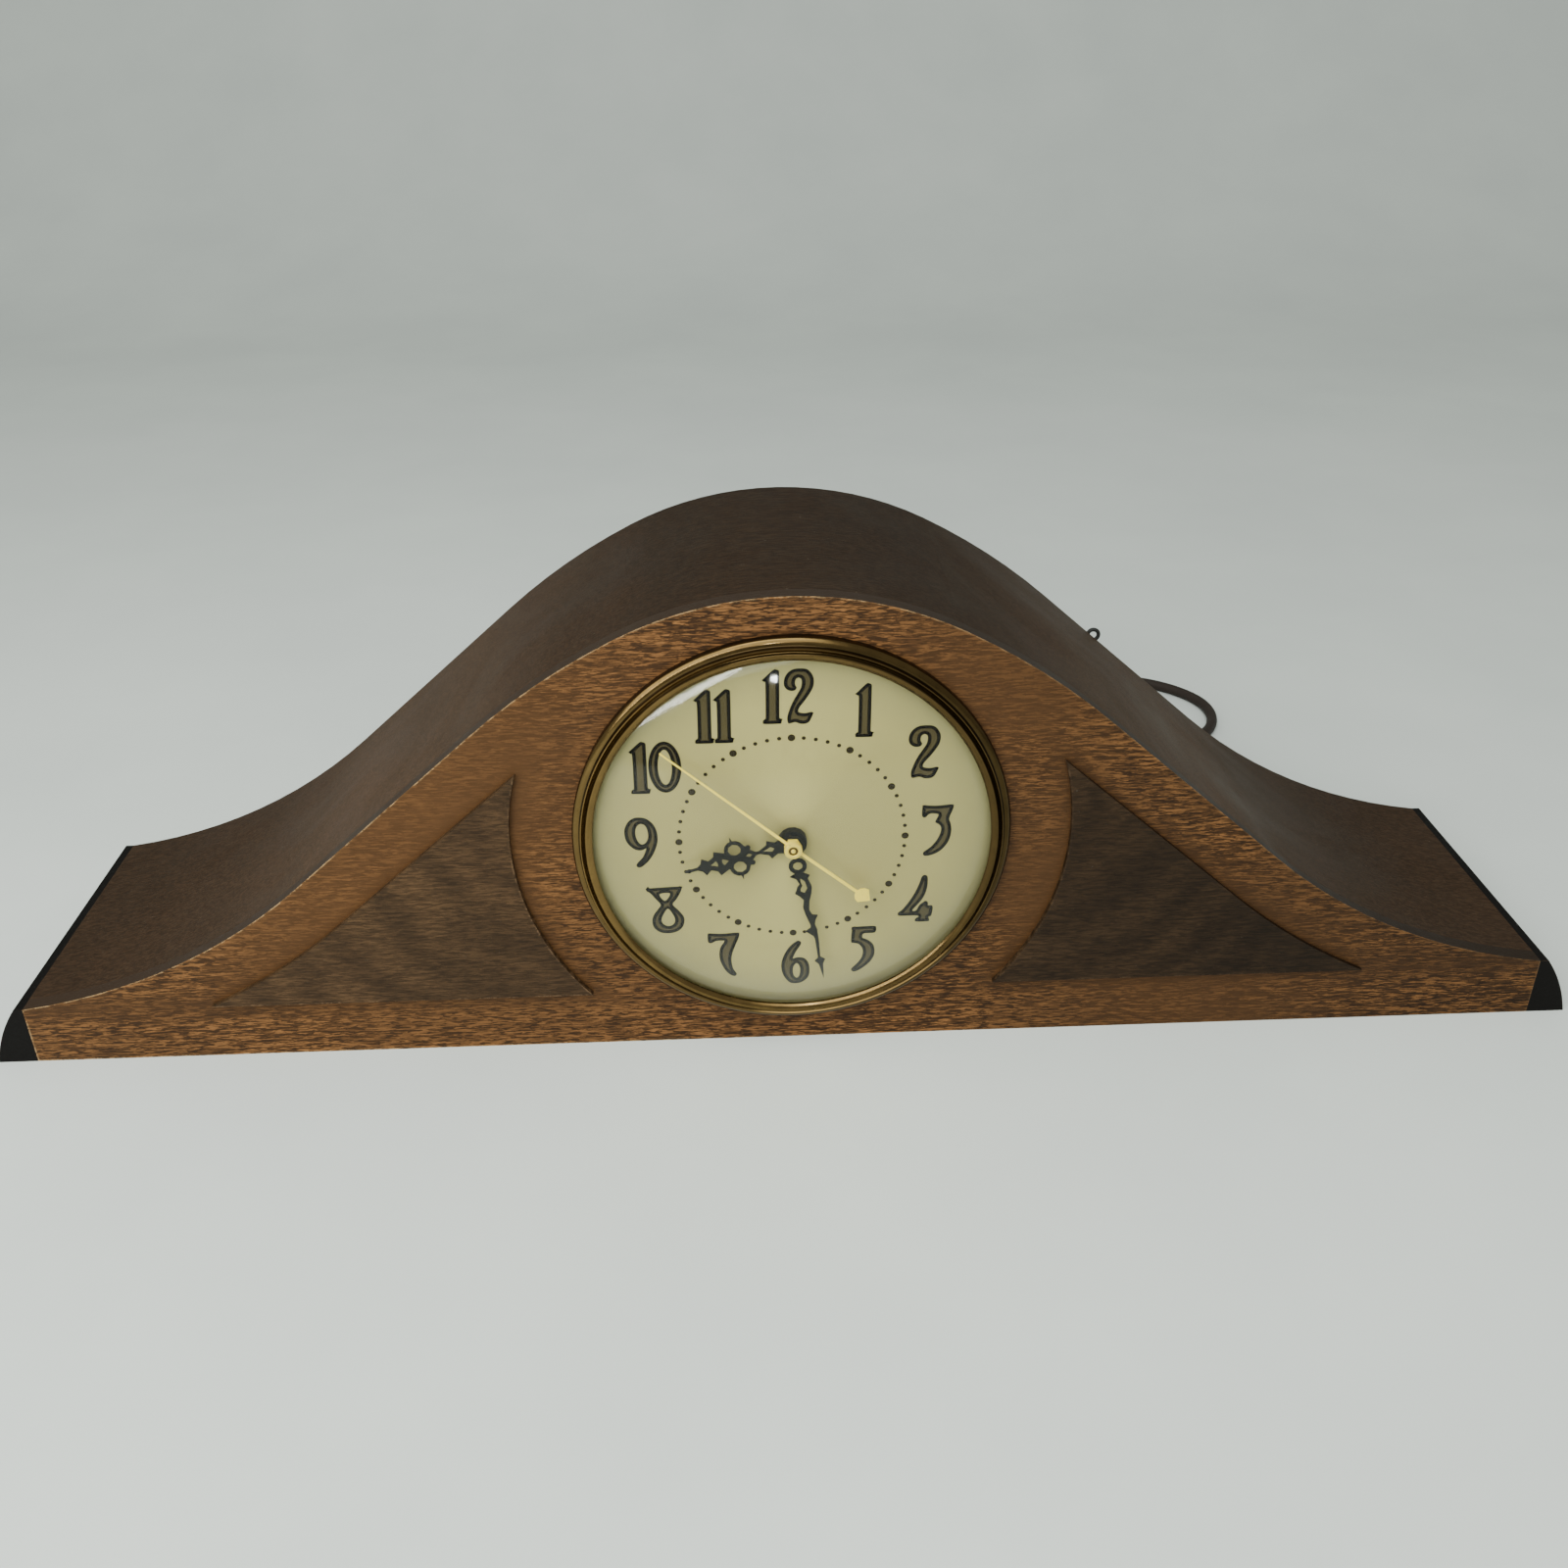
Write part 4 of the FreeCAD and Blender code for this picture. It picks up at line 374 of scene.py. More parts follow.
def metal(name, tone, rough=0.28, brushed=0.0, tarnish=0.35, dark=0.35, share=0.95, rings=None):
    """Turned or pressed metal with tarnish, fine scratches and brighter edges; given a rings table it is
    darker in its turned grooves, partly tarnish and partly painted shade, with painted shade at the ring's
    step and its inner and outer edges, and painted shade darkens it towards the right.
    """
    s = Shader(name)
    cloud = s.noise(s.place, 70, 5, 0.6, 0.5)
    speck = s.ramp(s.noise(s.place, 900, 3, 0.7), [(0.6, 0), (0.72, 0.5)])
    lines = s.noise(s.stretch((40, 2600, 2600)), 1, 3, 0.6)
    base = s.mix(s.ramp(cloud, [(0.38, tarnish), (0.66, 0)]), tone, darker(tone, dark))
    base = s.mix(speck, base, darker(tone, dark * 0.6))
    base = s.mix(s.sum(s.worn(), 0.5, "MULTIPLY"), base, darker(tone, 1.35))
    level = s.ramp(s.sum(cloud, s.sum(lines, 0.3, "MULTIPLY")), [(0.4, rough * 0.7), (0.9, rough * 1.5)])
    if rings:
        # The rings table darkens the ring by radius: its turned grooves partly as tarnish and partly as
        # painted shade, its step and its inner and outer edges as painted shade
        centred = s.from_dial()
        radius = s.add("VectorMath", {0: s.stretch((1, 0, 1), centred)}, operation="LENGTH").outputs["Value"]
        groove_tarnish_and_shade = s.ramp(s.sum(s.sum(radius, 0.064, "SUBTRACT"), 1 / 0.007, "MULTIPLY"), rings)
        base = s.mix(1.0, base, groove_tarnish_and_shade, "MULTIPLY")
        # Painted shade: the ring grows darker towards the right
        base = s.mix(1.0, base, s.grey(s.slide(-0.07, 0.07, 1.0, 0.4)), "MULTIPLY")
    return s.finish(base=base, rough=level, metal=share, normal=s.bump(lines, 0.06 + brushed, 0.00005))


def painted(name, tone, rough=0.35, grain=180.0, wear=0.4, shown=None, depth=0.0001, shine=0.2):
    """Paint, lacquer, rubber or moulded plastic: mottled, slightly pitted, rubbed at its edges."""
    s = Shader(name)
    cloud = s.noise(s.place, grain / 3, 4, 0.6, 0.3)
    fine = s.noise(s.place, grain * 8, 3, 0.6)
    base = s.mix(s.ramp(cloud, [(0.3, 0.4), (0.7, 0)]), tone, darker(tone, 0.6))
    rub = s.sum(s.worn(), s.ramp(s.noise(s.place, grain, 5, 0.7), [(0.42, 0), (0.6, wear)]), "MULTIPLY")
    base = s.mix(rub, base, shown or darker(tone, 2.2))
    level = s.ramp(s.sum(cloud, fine), [(0.7, rough), (1.3, rough + 0.2)])
    return s.finish(base=base, rough=level, normal=s.bump(fine, 0.25, depth), shine=shine)


def printed(name, tone):
    """Dial printing, a little broken up."""
    s = Shader(name)
    grain = s.noise(s.place, 2600, 3, 0.7)
    base = s.mix(s.ramp(grain, [(0.35, 0.35), (0.6, 0)]), tone, darker(tone, 1.7))
    return s.finish(base=base, rough=s.ramp(grain, [(0.3, 0.5), (0.7, 0.7)]),
                    normal=s.bump(grain, 0.1, 0.00003), shine=0.06)


def dial_finish():
    """A satin champagne dial with a painted sheen, brightest towards 12 and 6, and painted shade towards its
    edge.
    """
    s = Shader("dial_satin")
    tone = tuple(bpy.context.scene.clock_colours.dial)
    centred = s.from_dial()
    parts = s.add("SeparateXYZ", {0: centred}).outputs
    angle = s.sum(parts[0], parts[2], "ARCTAN2")
    radius = s.add("VectorMath", {0: s.stretch((1, 0, 1), centred)}, operation="LENGTH").outputs["Value"]
    # Painted sheen: two bright lobes towards 12 and 6, such as a spun finish shows, fading towards the edge
    lobes = s.sum(s.sum(angle, 2.0, "MULTIPLY"), 0.0, "COSINE")
    lobes = s.sum(s.sum(lobes, 0.5, "MULTIPLY"), 0.5)
    sheen = s.ramp(lobes, [(0.0, 0.74), (0.6, 0.78), (1.0, 1.0)])
    fan = {0: s.sum(angle, 60.0, "MULTIPLY"), 1: s.sum(radius, 6.0, "MULTIPLY")}
    fan = s.add("CombineXYZ", fan).outputs[0]
    rays = s.noise(fan, 1, 4, 0.7)
    near = s.ramp(s.sum(radius, 1 / 0.066, "MULTIPLY"), [(0.15, 1), (0.9, 0.35)])
    sheen = s.mix(near, (0.8, 0.8, 0.8, 1), sheen)
    base = s.mix(1.0, tone, sheen, "MULTIPLY")
    base = s.mix(s.ramp(rays, [(0.35, 0.14), (0.65, 0)]), base, darker(tone, 0.65))
    stain = s.ramp(s.noise(s.place, 38, 6, 0.65, 0.6), [(0.5, 0), (0.72, 0.3)])
    base = s.mix(stain, base, colour(160, 146, 98))
    speck = s.ramp(s.noise(s.place, 1500, 2, 0.6), [(0.7, 0), (0.76, 0.6)])
    base = s.mix(speck, base, colour(112, 96, 62))
    # Painted shade: the dial grows darker and greyer towards its edge, where the bezel shades it
    rim = s.ramp(s.sum(radius, 1 / 0.066, "MULTIPLY"), [(0.74, 0), (0.9, 0.25), (0.985, 0.6)])
    base = s.mix(rim, base, colour(118, 116, 92))
    return s.finish(base=base, rough=s.ramp(rays, [(0.3, 0.42), (0.7, 0.55)]), metal=0.25,
                    normal=s.bump(rays, 0.05, 0.00004))


def glass_finish():
    """Clear glass: it lets light straight through and mirrors more towards its edge."""
    s = Shader("clear_glass")
    smear = s.noise(s.place, 45, 5, 0.7, 0.4)
    clear = s.add("BsdfTransparent", {"Color": (0.965, 0.97, 0.94, 1)}).outputs[0]
    mirror = s.add("BsdfGlossy", {"Roughness": s.ramp(smear, [(0.4, 0.02), (0.75, 0.09)])}).outputs[0]
    slant = s.add("LayerWeight", {"Blend": 0.5}).outputs["Facing"]
    share = s.ramp(s.sum(slant, 4.0, "POWER"), [(0.0, 0.013), (1.0, 0.9)])
    blend = s.add("MixShader", {0: share, 1: clear, 2: mirror})
    s.tree.links.new(blend.outputs[0], s.output.inputs[0])
    return s.material


def floor_finish():
    """A plain pale table top, faintly mottled."""
    s = Shader("pale_table")
    soft = s.noise(s.place, 7, 4, 0.6)
    base = s.mix(s.ramp(soft, [(0.3, 0), (0.7, 1)]), colour(206, 211, 207), colour(213, 218, 213))
    return s.finish(base=base, rough=s.ramp(soft, [(0.2, 0.5), (0.8, 0.62)]), shine=0.25)


def keep(name, mesh_or_curve, material, body="case", nodes=()):
    """Puts a made piece into the scene, on its body and in place of its CAD nodes."""
    piece = bpy.data.objects.new(name, mesh_or_curve)
    bpy.context.collection.objects.link(piece)
    for finish in material if isinstance(material, (list, tuple)) else [material]:
        mesh_or_curve.materials.append(finish)
    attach(piece, body)
    if nodes:
        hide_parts(*nodes)
    return piece


def lathe(name, profile, steps, front=WOOD_FACE):
    """A closed profile of radius and distance before the wood, in millimetres, spun about the dial's axis."""
    bm = bmesh.new()
    rings = []
    for i in range(steps):
        turn = 2 * math.pi * i / steps
        rings.append([bm.verts.new((r * math.cos(turn) * MM, (front - proud) * MM,
                                    (DIAL_HEIGHT + r * math.sin(turn)) * MM)) for r, proud in profile])
    for ring, after in zip(rings, rings[1:] + rings[:1]):
        for j in range(len(profile)):
            k = (j + 1) % len(profile)
            bm.faces.new((ring[j], ring[k], after[k], after[j]))
    bmesh.ops.recalc_face_normals(bm, faces=bm.faces)
    return to_mesh(name, bm)


def to_mesh(name, bm, sharp=32.0):
    """Turns the built faces into a mesh, smooth but for edges sharper than the angle in degrees."""
    mesh = bpy.data.meshes.new(name)
    bm.to_mesh(mesh)
    bm.free()
    mesh.shade_smooth()
    mesh.set_sharp_from_angle(angle=math.radians(sharp))
    return mesh


def rows_to_mesh(name, rows, closed=True):
    """A skin over rings of points in metres, with a cap at both ends if closed."""
    bm = bmesh.new()
    rings = [[bm.verts.new(p) for p in row] for row in rows]
    for a, b in zip(rings, rings[1:]):
        for k in range(len(a)):
            bm.faces.new((a[k], a[(k + 1) % len(a)], b[(k + 1) % len(a)], b[k]))
    if closed:
        bm.faces.new(rings[0])
        bm.faces.new(rings[-1])
    bmesh.ops.recalc_face_normals(bm, faces=bm.faces)
    return to_mesh(name, bm)


def smooth_loop(points, steps=4):
    """A closed loop through given points, rounded between them."""
    out = []
    count = len(points)
    for i in range(count):
        p0, p1, p2, p3 = (Vector(points[(i + k - 1) % count]) for k in range(4))
        for j in range(steps):
            t = j / steps
            out.append((p1 * 2 + (p2 - p0) * t + (p0 * 2 - p1 * 5 + p2 * 4 - p3) * t * t
                        + (p1 * 3 - p0 - p2 * 3 + p3) * t ** 3) * 0.5)
    return out


def inside(point, loop):
    """True if the point is inside the closed loop."""
    hit = False
    for a, b in zip(loop, loop[1:] + loop[:1]):
        if (a[1] > point[1]) != (b[1] > point[1]):
            if point[0] < (b[0] - a[0]) * (point[1] - a[1]) / (b[1] - a[1]) + a[0]:
                hit = not hit
    return hit


def flat_faces(bm, loops, y):
    """Fills the first loop less the others, in the plane at y, all in millimetres."""
    points, edges = [], []
    for loop in loops:
        first = len(points)
        points += [Vector(p) for p in loop]
        edges += [(first + i, first + (i + 1) % len(loop)) for i in range(len(loop))]
    co, _, faces, _, _, _ = geometry.delaunay_2d_cdt(points, edges, [], 1, 1e-6)
    verts = [bm.verts.new((p.x * MM, y * MM, p.y * MM)) for p in co]
    made = []
    for face in faces:
        middle = sum((co[i] for i in face), Vector((0, 0))) / len(face)
        if inside(middle, loops[0]) and not any(inside(middle, hole) for hole in loops[1:]):
            made.append(bm.faces.new([verts[i] for i in face]))
    loose = [v for v in bm.verts if not v.link_faces]
    bmesh.ops.delete(bm, geom=loose, context="VERTS")
    return made


def wire_curve(name, points, radius, order=3, taper=None):
    """A round wire or cord along control points in metres; taper scales its radius at each point."""
    curve = bpy.data.curves.new(name, "CURVE")
    curve.dimensions = "3D"
    curve.bevel_depth = radius
    curve.bevel_resolution = 6
    curve.resolution_u = 12
    curve.use_fill_caps = True
    spline = curve.splines.new("NURBS")
    spline.points.add(len(points) - 1)
    for point, place in zip(spline.points, points):
        point.co = (*place, 1)
    for point, share in zip(spline.points, taper or ()):
        point.radius = share
    spline.order_u = order
    spline.use_endpoint_u = True
    return curve


class CLOCK_OT_stage(bpy.types.Operator):
    """Floor, light and camera"""
    bl_idname = "clock.stage"
    bl_label = "Stage"

    def execute(self, context):
        bm = bmesh.new()
        profile = [(-2.5, 0.0), (1.1, 0.0)]
        for i in range(1, 13):
            rise = i * math.pi / 24
            profile.append((1.1 + 0.7 * math.sin(rise), 0.7 - 0.7 * math.cos(rise)))
        profile.append((1.8, 3.0))
        rows = [[bm.verts.new((x, y, z)) for x in (-4.0, 4.0)] for y, z in profile]
        for a, b in zip(rows, rows[1:]):
            bm.faces.new((a[0], a[1], b[1], b[0]))
        floor = bpy.data.objects.new("floor", to_mesh("floor", bm, 60))
        floor.data.materials.append(floor_finish())
        context.collection.objects.link(floor)
        for name, place, aim, along, size, power in (
                ("ceiling", (-0.12, -0.5, 1.35), (0.0, 0.0, 0.1), (1, 0, 0), (0.8, 0.4), 6.0),
                ("room", (-0.42, -0.78, 0.82), (0.0, -0.25, 0.0), (1, 0, 0), (1.6, 0.9), 21.0),
                ("strip", (-0.52, -0.94, 0.405), (-0.03, -0.06, 0.134), (0.58, -0.18, 0.43), (0.74, 0.03),
                 3.2),
                ("spark", (-0.028, -0.525, 0.33), (0.0, -0.06, 0.14), (1, 0, 0), (0.016, 0.016), 0.2)):
            lamp = bpy.data.lights.new(name, "AREA")
            lamp.shape = "RECTANGLE"
            lamp.size, lamp.size_y = size
            lamp.energy = power
            lamp.color = (0.965, 1.0, 0.965)
            holder = bpy.data.objects.new(name, lamp)
            back = (Vector(place) - Vector(aim)).normalized()
            across = (Vector(along) - back * back.dot(Vector(along))).normalized()
            turn = Matrix((across, back.cross(across), back)).transposed().to_4x4()
            holder.matrix_world = Matrix.Translation(place) @ turn
            context.collection.objects.link(holder)
        world = bpy.data.worlds.new("room")
        world.use_nodes = True
        world.node_tree.nodes["Background"].inputs[0].default_value = (0.60, 0.63, 0.60, 1)
        world.node_tree.nodes["Background"].inputs[1].default_value = 0.85
        context.scene.world = world
        camera = bpy.data.cameras.new("camera")
        camera.sensor_width = 36.0
        camera.lens = 33.44
        camera.clip_start = 0.01
        holder = bpy.data.objects.new("camera", camera)
        context.collection.objects.link(holder)
        yaw, pitch, roll = 0.0347, 0.5014, -0.0115
        ahead = Vector((math.sin(yaw), math.cos(yaw), 0)) * math.cos(pitch) - Vector((0, 0, math.sin(pitch)))
        right = Vector((math.cos(yaw), -math.sin(yaw), 0))
        up = right.cross(ahead)
        side = right * math.cos(roll) + up * math.sin(roll)
        top = up * math.cos(roll) - right * math.sin(roll)
        turn = Matrix((side, top, -ahead)).transposed().to_4x4()
        holder.matrix_world = Matrix.Translation((-0.01655, -0.4607, 0.3242)) @ turn
        context.scene.camera = holder
        return {"FINISHED"}


class CLOCK_OT_cord(bpy.types.Operator):
    """Mains cord with its loose stretch and its put-away coil"""
    bl_idname = "clock.cord"
    bl_label = "Cord"

    def execute(self, context):
        points = list(CORD_POINTS)
        turns, per_turn, start, pitch = 2, 16, 0.0356, 0.0056
        for i in range(1, 2 * turns * per_turn + 1):
            turn = i / per_turn
            radius = (start - pitch * (turns - abs(turn - turns))) / math.cos(math.pi / per_turn) ** 0.5
            climb = min(max(2 * (turn - turns) + 0.5, 0), 1)
            angle = 2 * math.pi * (turn + 0.25)
            points.append((0.074 + radius * math.cos(angle), 0.1939 + radius * math.sin(angle),
                           0.0026 + 0.0056 * (3 * climb ** 2 - 2 * climb ** 3)))
        points.append((0.066, 0.2295, 0.0082))
        points.append((0.052, 0.2295, 0.0082))
        size = context.scene.clock_sizes.cord
        finish = painted("cord_rubber", colour(46, 38, 33), 0.5, 260, 0.2)
        piece = keep("mains_cord", wire_curve("mains_cord", points, size / 2), finish,
                     nodes=("power_cord", "cord_coil"))
        return {"FINISHED"}


class CLOCK_OT_dial(bpy.types.Operator):
    """Dial, spun bezel and domed glass"""
    bl_idname = "clock.dial"
    bl_label = "Dial and glass"

    def execute(self, context):
        dial = [(3.5, 0.0), (3.5, 1.55), (3.7, 1.6)]
        dial += [(r, 1.6) for r in (12, 24, 36, 48, 60, 65.6)] + [(66, 1.5), (66, 0)]
        keep("dial_face", lathe("dial_face", dial, 192), dial_finish(), nodes=("dial_plate",))
        # The rings table sets the bezel's brightness by radius: its turned grooves darker, partly tarnish and
        # partly painted shade, and painted shade at the step near 68.6 mm and at the inner and outer edges
        brass = metal("bezel_gilt", colour(134, 108, 64), 0.17, 0.0, 0.5, 0.5, rings=[
            (0.0, 0.3), (0.06, 0.7), (0.12, 0.8), (0.33, 0.75), (0.405, 0.2), (0.43, 0.7), (0.45, 0.22),
            (0.475, 0.7), (0.495, 0.25), (0.53, 1.0), (0.6, 0.6), (0.66, 0.1), (0.69, 0.55), (0.8, 0.62),
            (0.95, 0.7), (1.0, 0.4)])
        bezel = [(66.05, 0), (66.05, 3.5), (64.35, 4.4), (64.2, 4.52), (64.25, 4.66), (64.7, 5.0),
                 (65.3, 5.42), (65.9, 5.62), (66.4, 5.5), (66.75, 5.1), (66.85, 4.72), (67.0, 4.86),
                 (67.15, 4.68), (67.3, 4.82), (67.45, 4.5), (67.6, 4.66), (67.9, 4.92), (68.2, 4.85),
                 (68.45, 4.4), (68.55, 3.7), (68.7, 3.55), (69.4, 3.45), (70.2, 3.1), (70.8, 2.6),
                 (71.0, 2.1), (71.0, 0)]
        ring = lathe("bezel_ring", bezel, 256)
        bm = bmesh.new()
        bm.from_mesh(ring)
        for i in range(3):
            turn = Matrix.Translation((0, 0, DIAL_HEIGHT * MM)) @ Matrix.Rotation(2 * math.pi * i / 3, 4, "Y")
            for x0, x1, y0, y1 in ((68.0, 68.6, -53.9, -41.4), (68.0, 72.0, -42.0, -41.4)):
                made = bmesh.ops.create_cube(bm, size=1.0)["verts"]
                for v in made:
                    v.co = turn @ Vector((((x0 + x1) / 2 + v.co.x * (x1 - x0)) * MM,
                                          ((y0 + y1) / 2 + v.co.y * (y1 - y0)) * MM, v.co.z * 6 * MM))
        bm.to_mesh(ring)
        bm.free()
        keep("bezel_ring", ring, brass, nodes=("bezel",))
        edge, rise, thick = 66.0, 15.5, 1.8
        sphere = (edge ** 2 + rise ** 2) / (2 * rise)
        steps = 26
        radii = [edge * math.sin(math.pi / 2 * i / steps) for i in range(steps + 1)]
        radii[0] = 0.05
        inner = [(r, 1.6 + rise - sphere + math.sqrt(sphere ** 2 - r ** 2)) for r in radii]
        outer = [(r, proud + thick) for r, proud in inner]
        dome = lathe("glass_dome", inner + outer[::-1], 192)
        keep("glass_dome", dome, glass_finish(), nodes=("glass",))
        return {"FINISHED"}


class CLOCK_OT_printing(bpy.types.Operator):
    """Numerals and the ring of minute dots"""
    bl_idname = "clock.printing"
    bl_label = "Dial printing"

    def execute(self, context):
        line = printed("printed_line", colour(15, 13, 10))
        fill = printed("printed_fill", colour(72, 64, 43))
        oval = [[(5.2 * math.sin(a), 9.1 * math.cos(a)) for a in (i * math.pi / 12 for i in range(24))],
                [(2.2 * math.sin(a), 6.2 * math.cos(a)) for a in (i * math.pi / 10 for i in range(20))]]
        for name, glyphs in NUMERALS.items():
            bm = bmesh.new()
            for key, across, up, wide in glyphs:
                loops = [[(across + x * wide, DIAL_HEIGHT + up + z) for x, z in smooth_loop(loop)]
                         for loop in (oval if key == "0" else GLYPHS[key])]
                faces = flat_faces(bm, loops, PRINT_PLANE)
                before = set(faces)
                bmesh.ops.inset_region(bm, faces=faces, thickness=1.15 * MM, use_even_offset=False,
                                       use_boundary=True)
                for face in bm.faces:
                    face.smooth = False
                for face in before:
                    if face.is_valid:
                        face.material_index = 1
            bmesh.ops.recalc_face_normals(bm, faces=bm.faces)
            keep("numeral_" + name, to_mesh(name, bm), (line, fill))
        bm = bmesh.new()
        for i in range(60):
            turn = 2 * math.pi * i / 60
            size = 1.2 if i % 5 == 0 else 0.66
            middle = (DOT_CIRCLE * math.sin(turn), DIAL_HEIGHT + DOT_CIRCLE * math.cos(turn))
            ring = [bm.verts.new(((middle[0] + size * math.cos(a)) * MM, PRINT_PLANE * MM,
                                  (middle[1] + size * math.sin(a)) * MM))
                    for a in (k * math.pi / 8 for k in range(16))]
            bm.faces.new(ring)
        dots = printed("printed_dots", colour(40, 34, 22))
        keep("minute_dots", to_mesh("minute_dots", bm), dots)
        return {"FINISHED"}


class CLOCK_OT_lever(bpy.types.Operator):
    """Wire lever that silences the chime"""
    bl_idname = "clock.lever"
    bl_label = "Silencing lever"

    def execute(self, context):
        pivot_x, pivot_z = LEVER_PIVOT
        place = Vector((pivot_x, 56.7, pivot_z))
        eye = Vector((121.8, 56.7, 102.5))
        way = (eye - place).normalized()
        across = Vector((way.z, 0, -way.x))
        points = [place, place + way * 6, place + way * 14, eye - way * 4]
        for i in range(13):
            turn = math.radians(-90 + 26 * i)
            points.append(eye + (across * math.cos(turn) + way * math.sin(turn)) * 2.2)
        points = [tuple(p * MM) for p in points]
        finish = painted("lever_black", colour(40, 40, 38), 0.35, 300, 0.7, colour(120, 116, 108))
        keep("lever_wire", wire_curve("lever_wire", points, 0.75 * MM), finish, "silencer",
             ("silence_lever",))
        stem = [tuple(Vector((pivot_x, y, pivot_z)) * MM) for y in (37.6, 45.0, 52.0, 56.6)]
        keep("lever_stem", wire_curve("lever_stem", stem, 0.75 * MM), finish, "silencer")
        finger = [(spot.x * MM, 0.0383, spot.z * MM) for spot in (place, place - way * 7, place - way * 14)]
        keep("lever_finger", wire_curve("lever_finger", finger, 0.75 * MM), finish, "silencer")
        rows = []
        for y, r in ((50.6, 1.0), (50.6, 3.0), (51.0, 3.2), (55.2, 3.2), (55.9, 2.6), (55.9, 1.0)):
            rows.append([((pivot_x + r * math.cos(a)) * MM, y * MM, (pivot_z + r * math.sin(a)) * MM)
                         for a in (k * math.pi / 16 for k in range(32))])
        keep("lever_boss", rows_to_mesh("lever_boss", rows, closed=False), finish, "silencer")
        return {"FINISHED"}


class CLOCK_OT_finishes(bpy.types.Operator):
    """Wood, metal, rubber and board finishes on the frame's own pieces"""
    bl_idname = "clock.finishes"
    bl_label = "Finishes"

    def execute(self, context):
        tones = context.scene.clock_colours
        finishes = {
            # The front and its panels get painted shade towards the right, the front also on its edge faces;
            # the cover's 0.25 strews dust and turns on its painted sheen and shade by height
            "front_wood": wood("front_mahogany", tuple(tones.front), 0.9, 0.3, 0.42, 0.5, 0.9, front=True,
                               shine=0.14),
            "cover_wood": wood("cover_stained", tuple(tones.cover), 0.3, 0.14, 0.42, 0.35, 0.35, 0.25,
                               shine=0.07),
            "overlay_wood": wood("overlay_veneer", tuple(tones.overlay), 0.4, 0.24, 0.4, 0.12, 0.45, 0.1, 1.3,
                                 shine=0.12),
            "plain_wood": wood("plain_wood", colour(150, 112, 70), 0.4, 0.2, 0.6, 0.3),
            "black_wood": painted("black_lacquer", colour(15, 13, 12), 0.4, 120, 0.5, colour(84, 66, 48),
                                  shine=0.08),
            "black_hand": painted("hand_black", colour(16, 16, 17), 0.5, 500, 0.2, colour(60, 60, 56),
                                  0.00003),
            "brass_hand": metal("hand_gilt", colour(250, 222, 84), 0.35, 0.0, 0.1, 0.6, 0.0),
            "brass": metal("plate_brass", colour(190, 158, 92), 0.3, 0.1),
            "steel": metal("turned_steel", colour(150, 152, 154), 0.32, 0.1),
            "screws": metal("screw_steel", colour(128, 124, 114), 0.38, 0.05, 0.5),
            "iron": metal("core_iron", colour(92, 90, 88), 0.45, 0.3, 0.6),
            "rods": metal("rod_steel", colour(140, 130, 112), 0.35, 0.1, 0.4),
            "winding": painted("winding_tape", colour(122, 84, 40), 0.6, 200, 0.3),
            "fibre_board": painted("pressed_board", colour(88, 62, 42), 0.72, 90, 0.5, colour(128, 98, 70),
                                   0.0003),
            "black_plastic": painted("moulded_black", colour(30, 28, 27), 0.3, 200, 0.3),
            "rubber": painted("bush_rubber", colour(40, 36, 34), 0.6, 300, 0.2),
            "cord": painted("cord_core", colour(46, 38, 33), 0.5, 260, 0.2),
            "plug": painted("plug_moulding", colour(44, 36, 31), 0.42, 200, 0.3),
            "blades": metal("blade_brass", colour(196, 168, 104), 0.28, 0.1),
            "bezel_brass": metal("bezel_inner", colour(150, 116, 66), 0.3),
            "dial": painted("dial_back", colour(170, 160, 120), 0.5, 200),
            "glass": glass_finish(),
        }
        wooden = ("front_wood", "cover_wood", "overlay_wood", "black_wood", "plain_wood", "fibre_board",
                  "plug")
        slots = {s["node"]: s["material_slot"] for s in frame["record"]["subparts"] if "node" in s}
        sizes = context.scene.clock_sizes
        for name, node in frame["nodes"].items():
            kind = slots[name]
            node.data.materials.clear()
            node.data.materials.append(finishes[kind])
            node.data.shade_smooth()
            node.data.set_sharp_from_angle(angle=math.radians(32))
            edge = node.modifiers.new("edge", "BEVEL")
            edge.width = sizes.arris if kind in wooden else sizes.metal_edge
            edge.segments = 2
            edge.limit_method = "ANGLE"
            edge.angle_limit = math.radians(40)
            edge.use_clamp_overlap = True
            edge.harden_normals = True
        return {"FINISHED"}


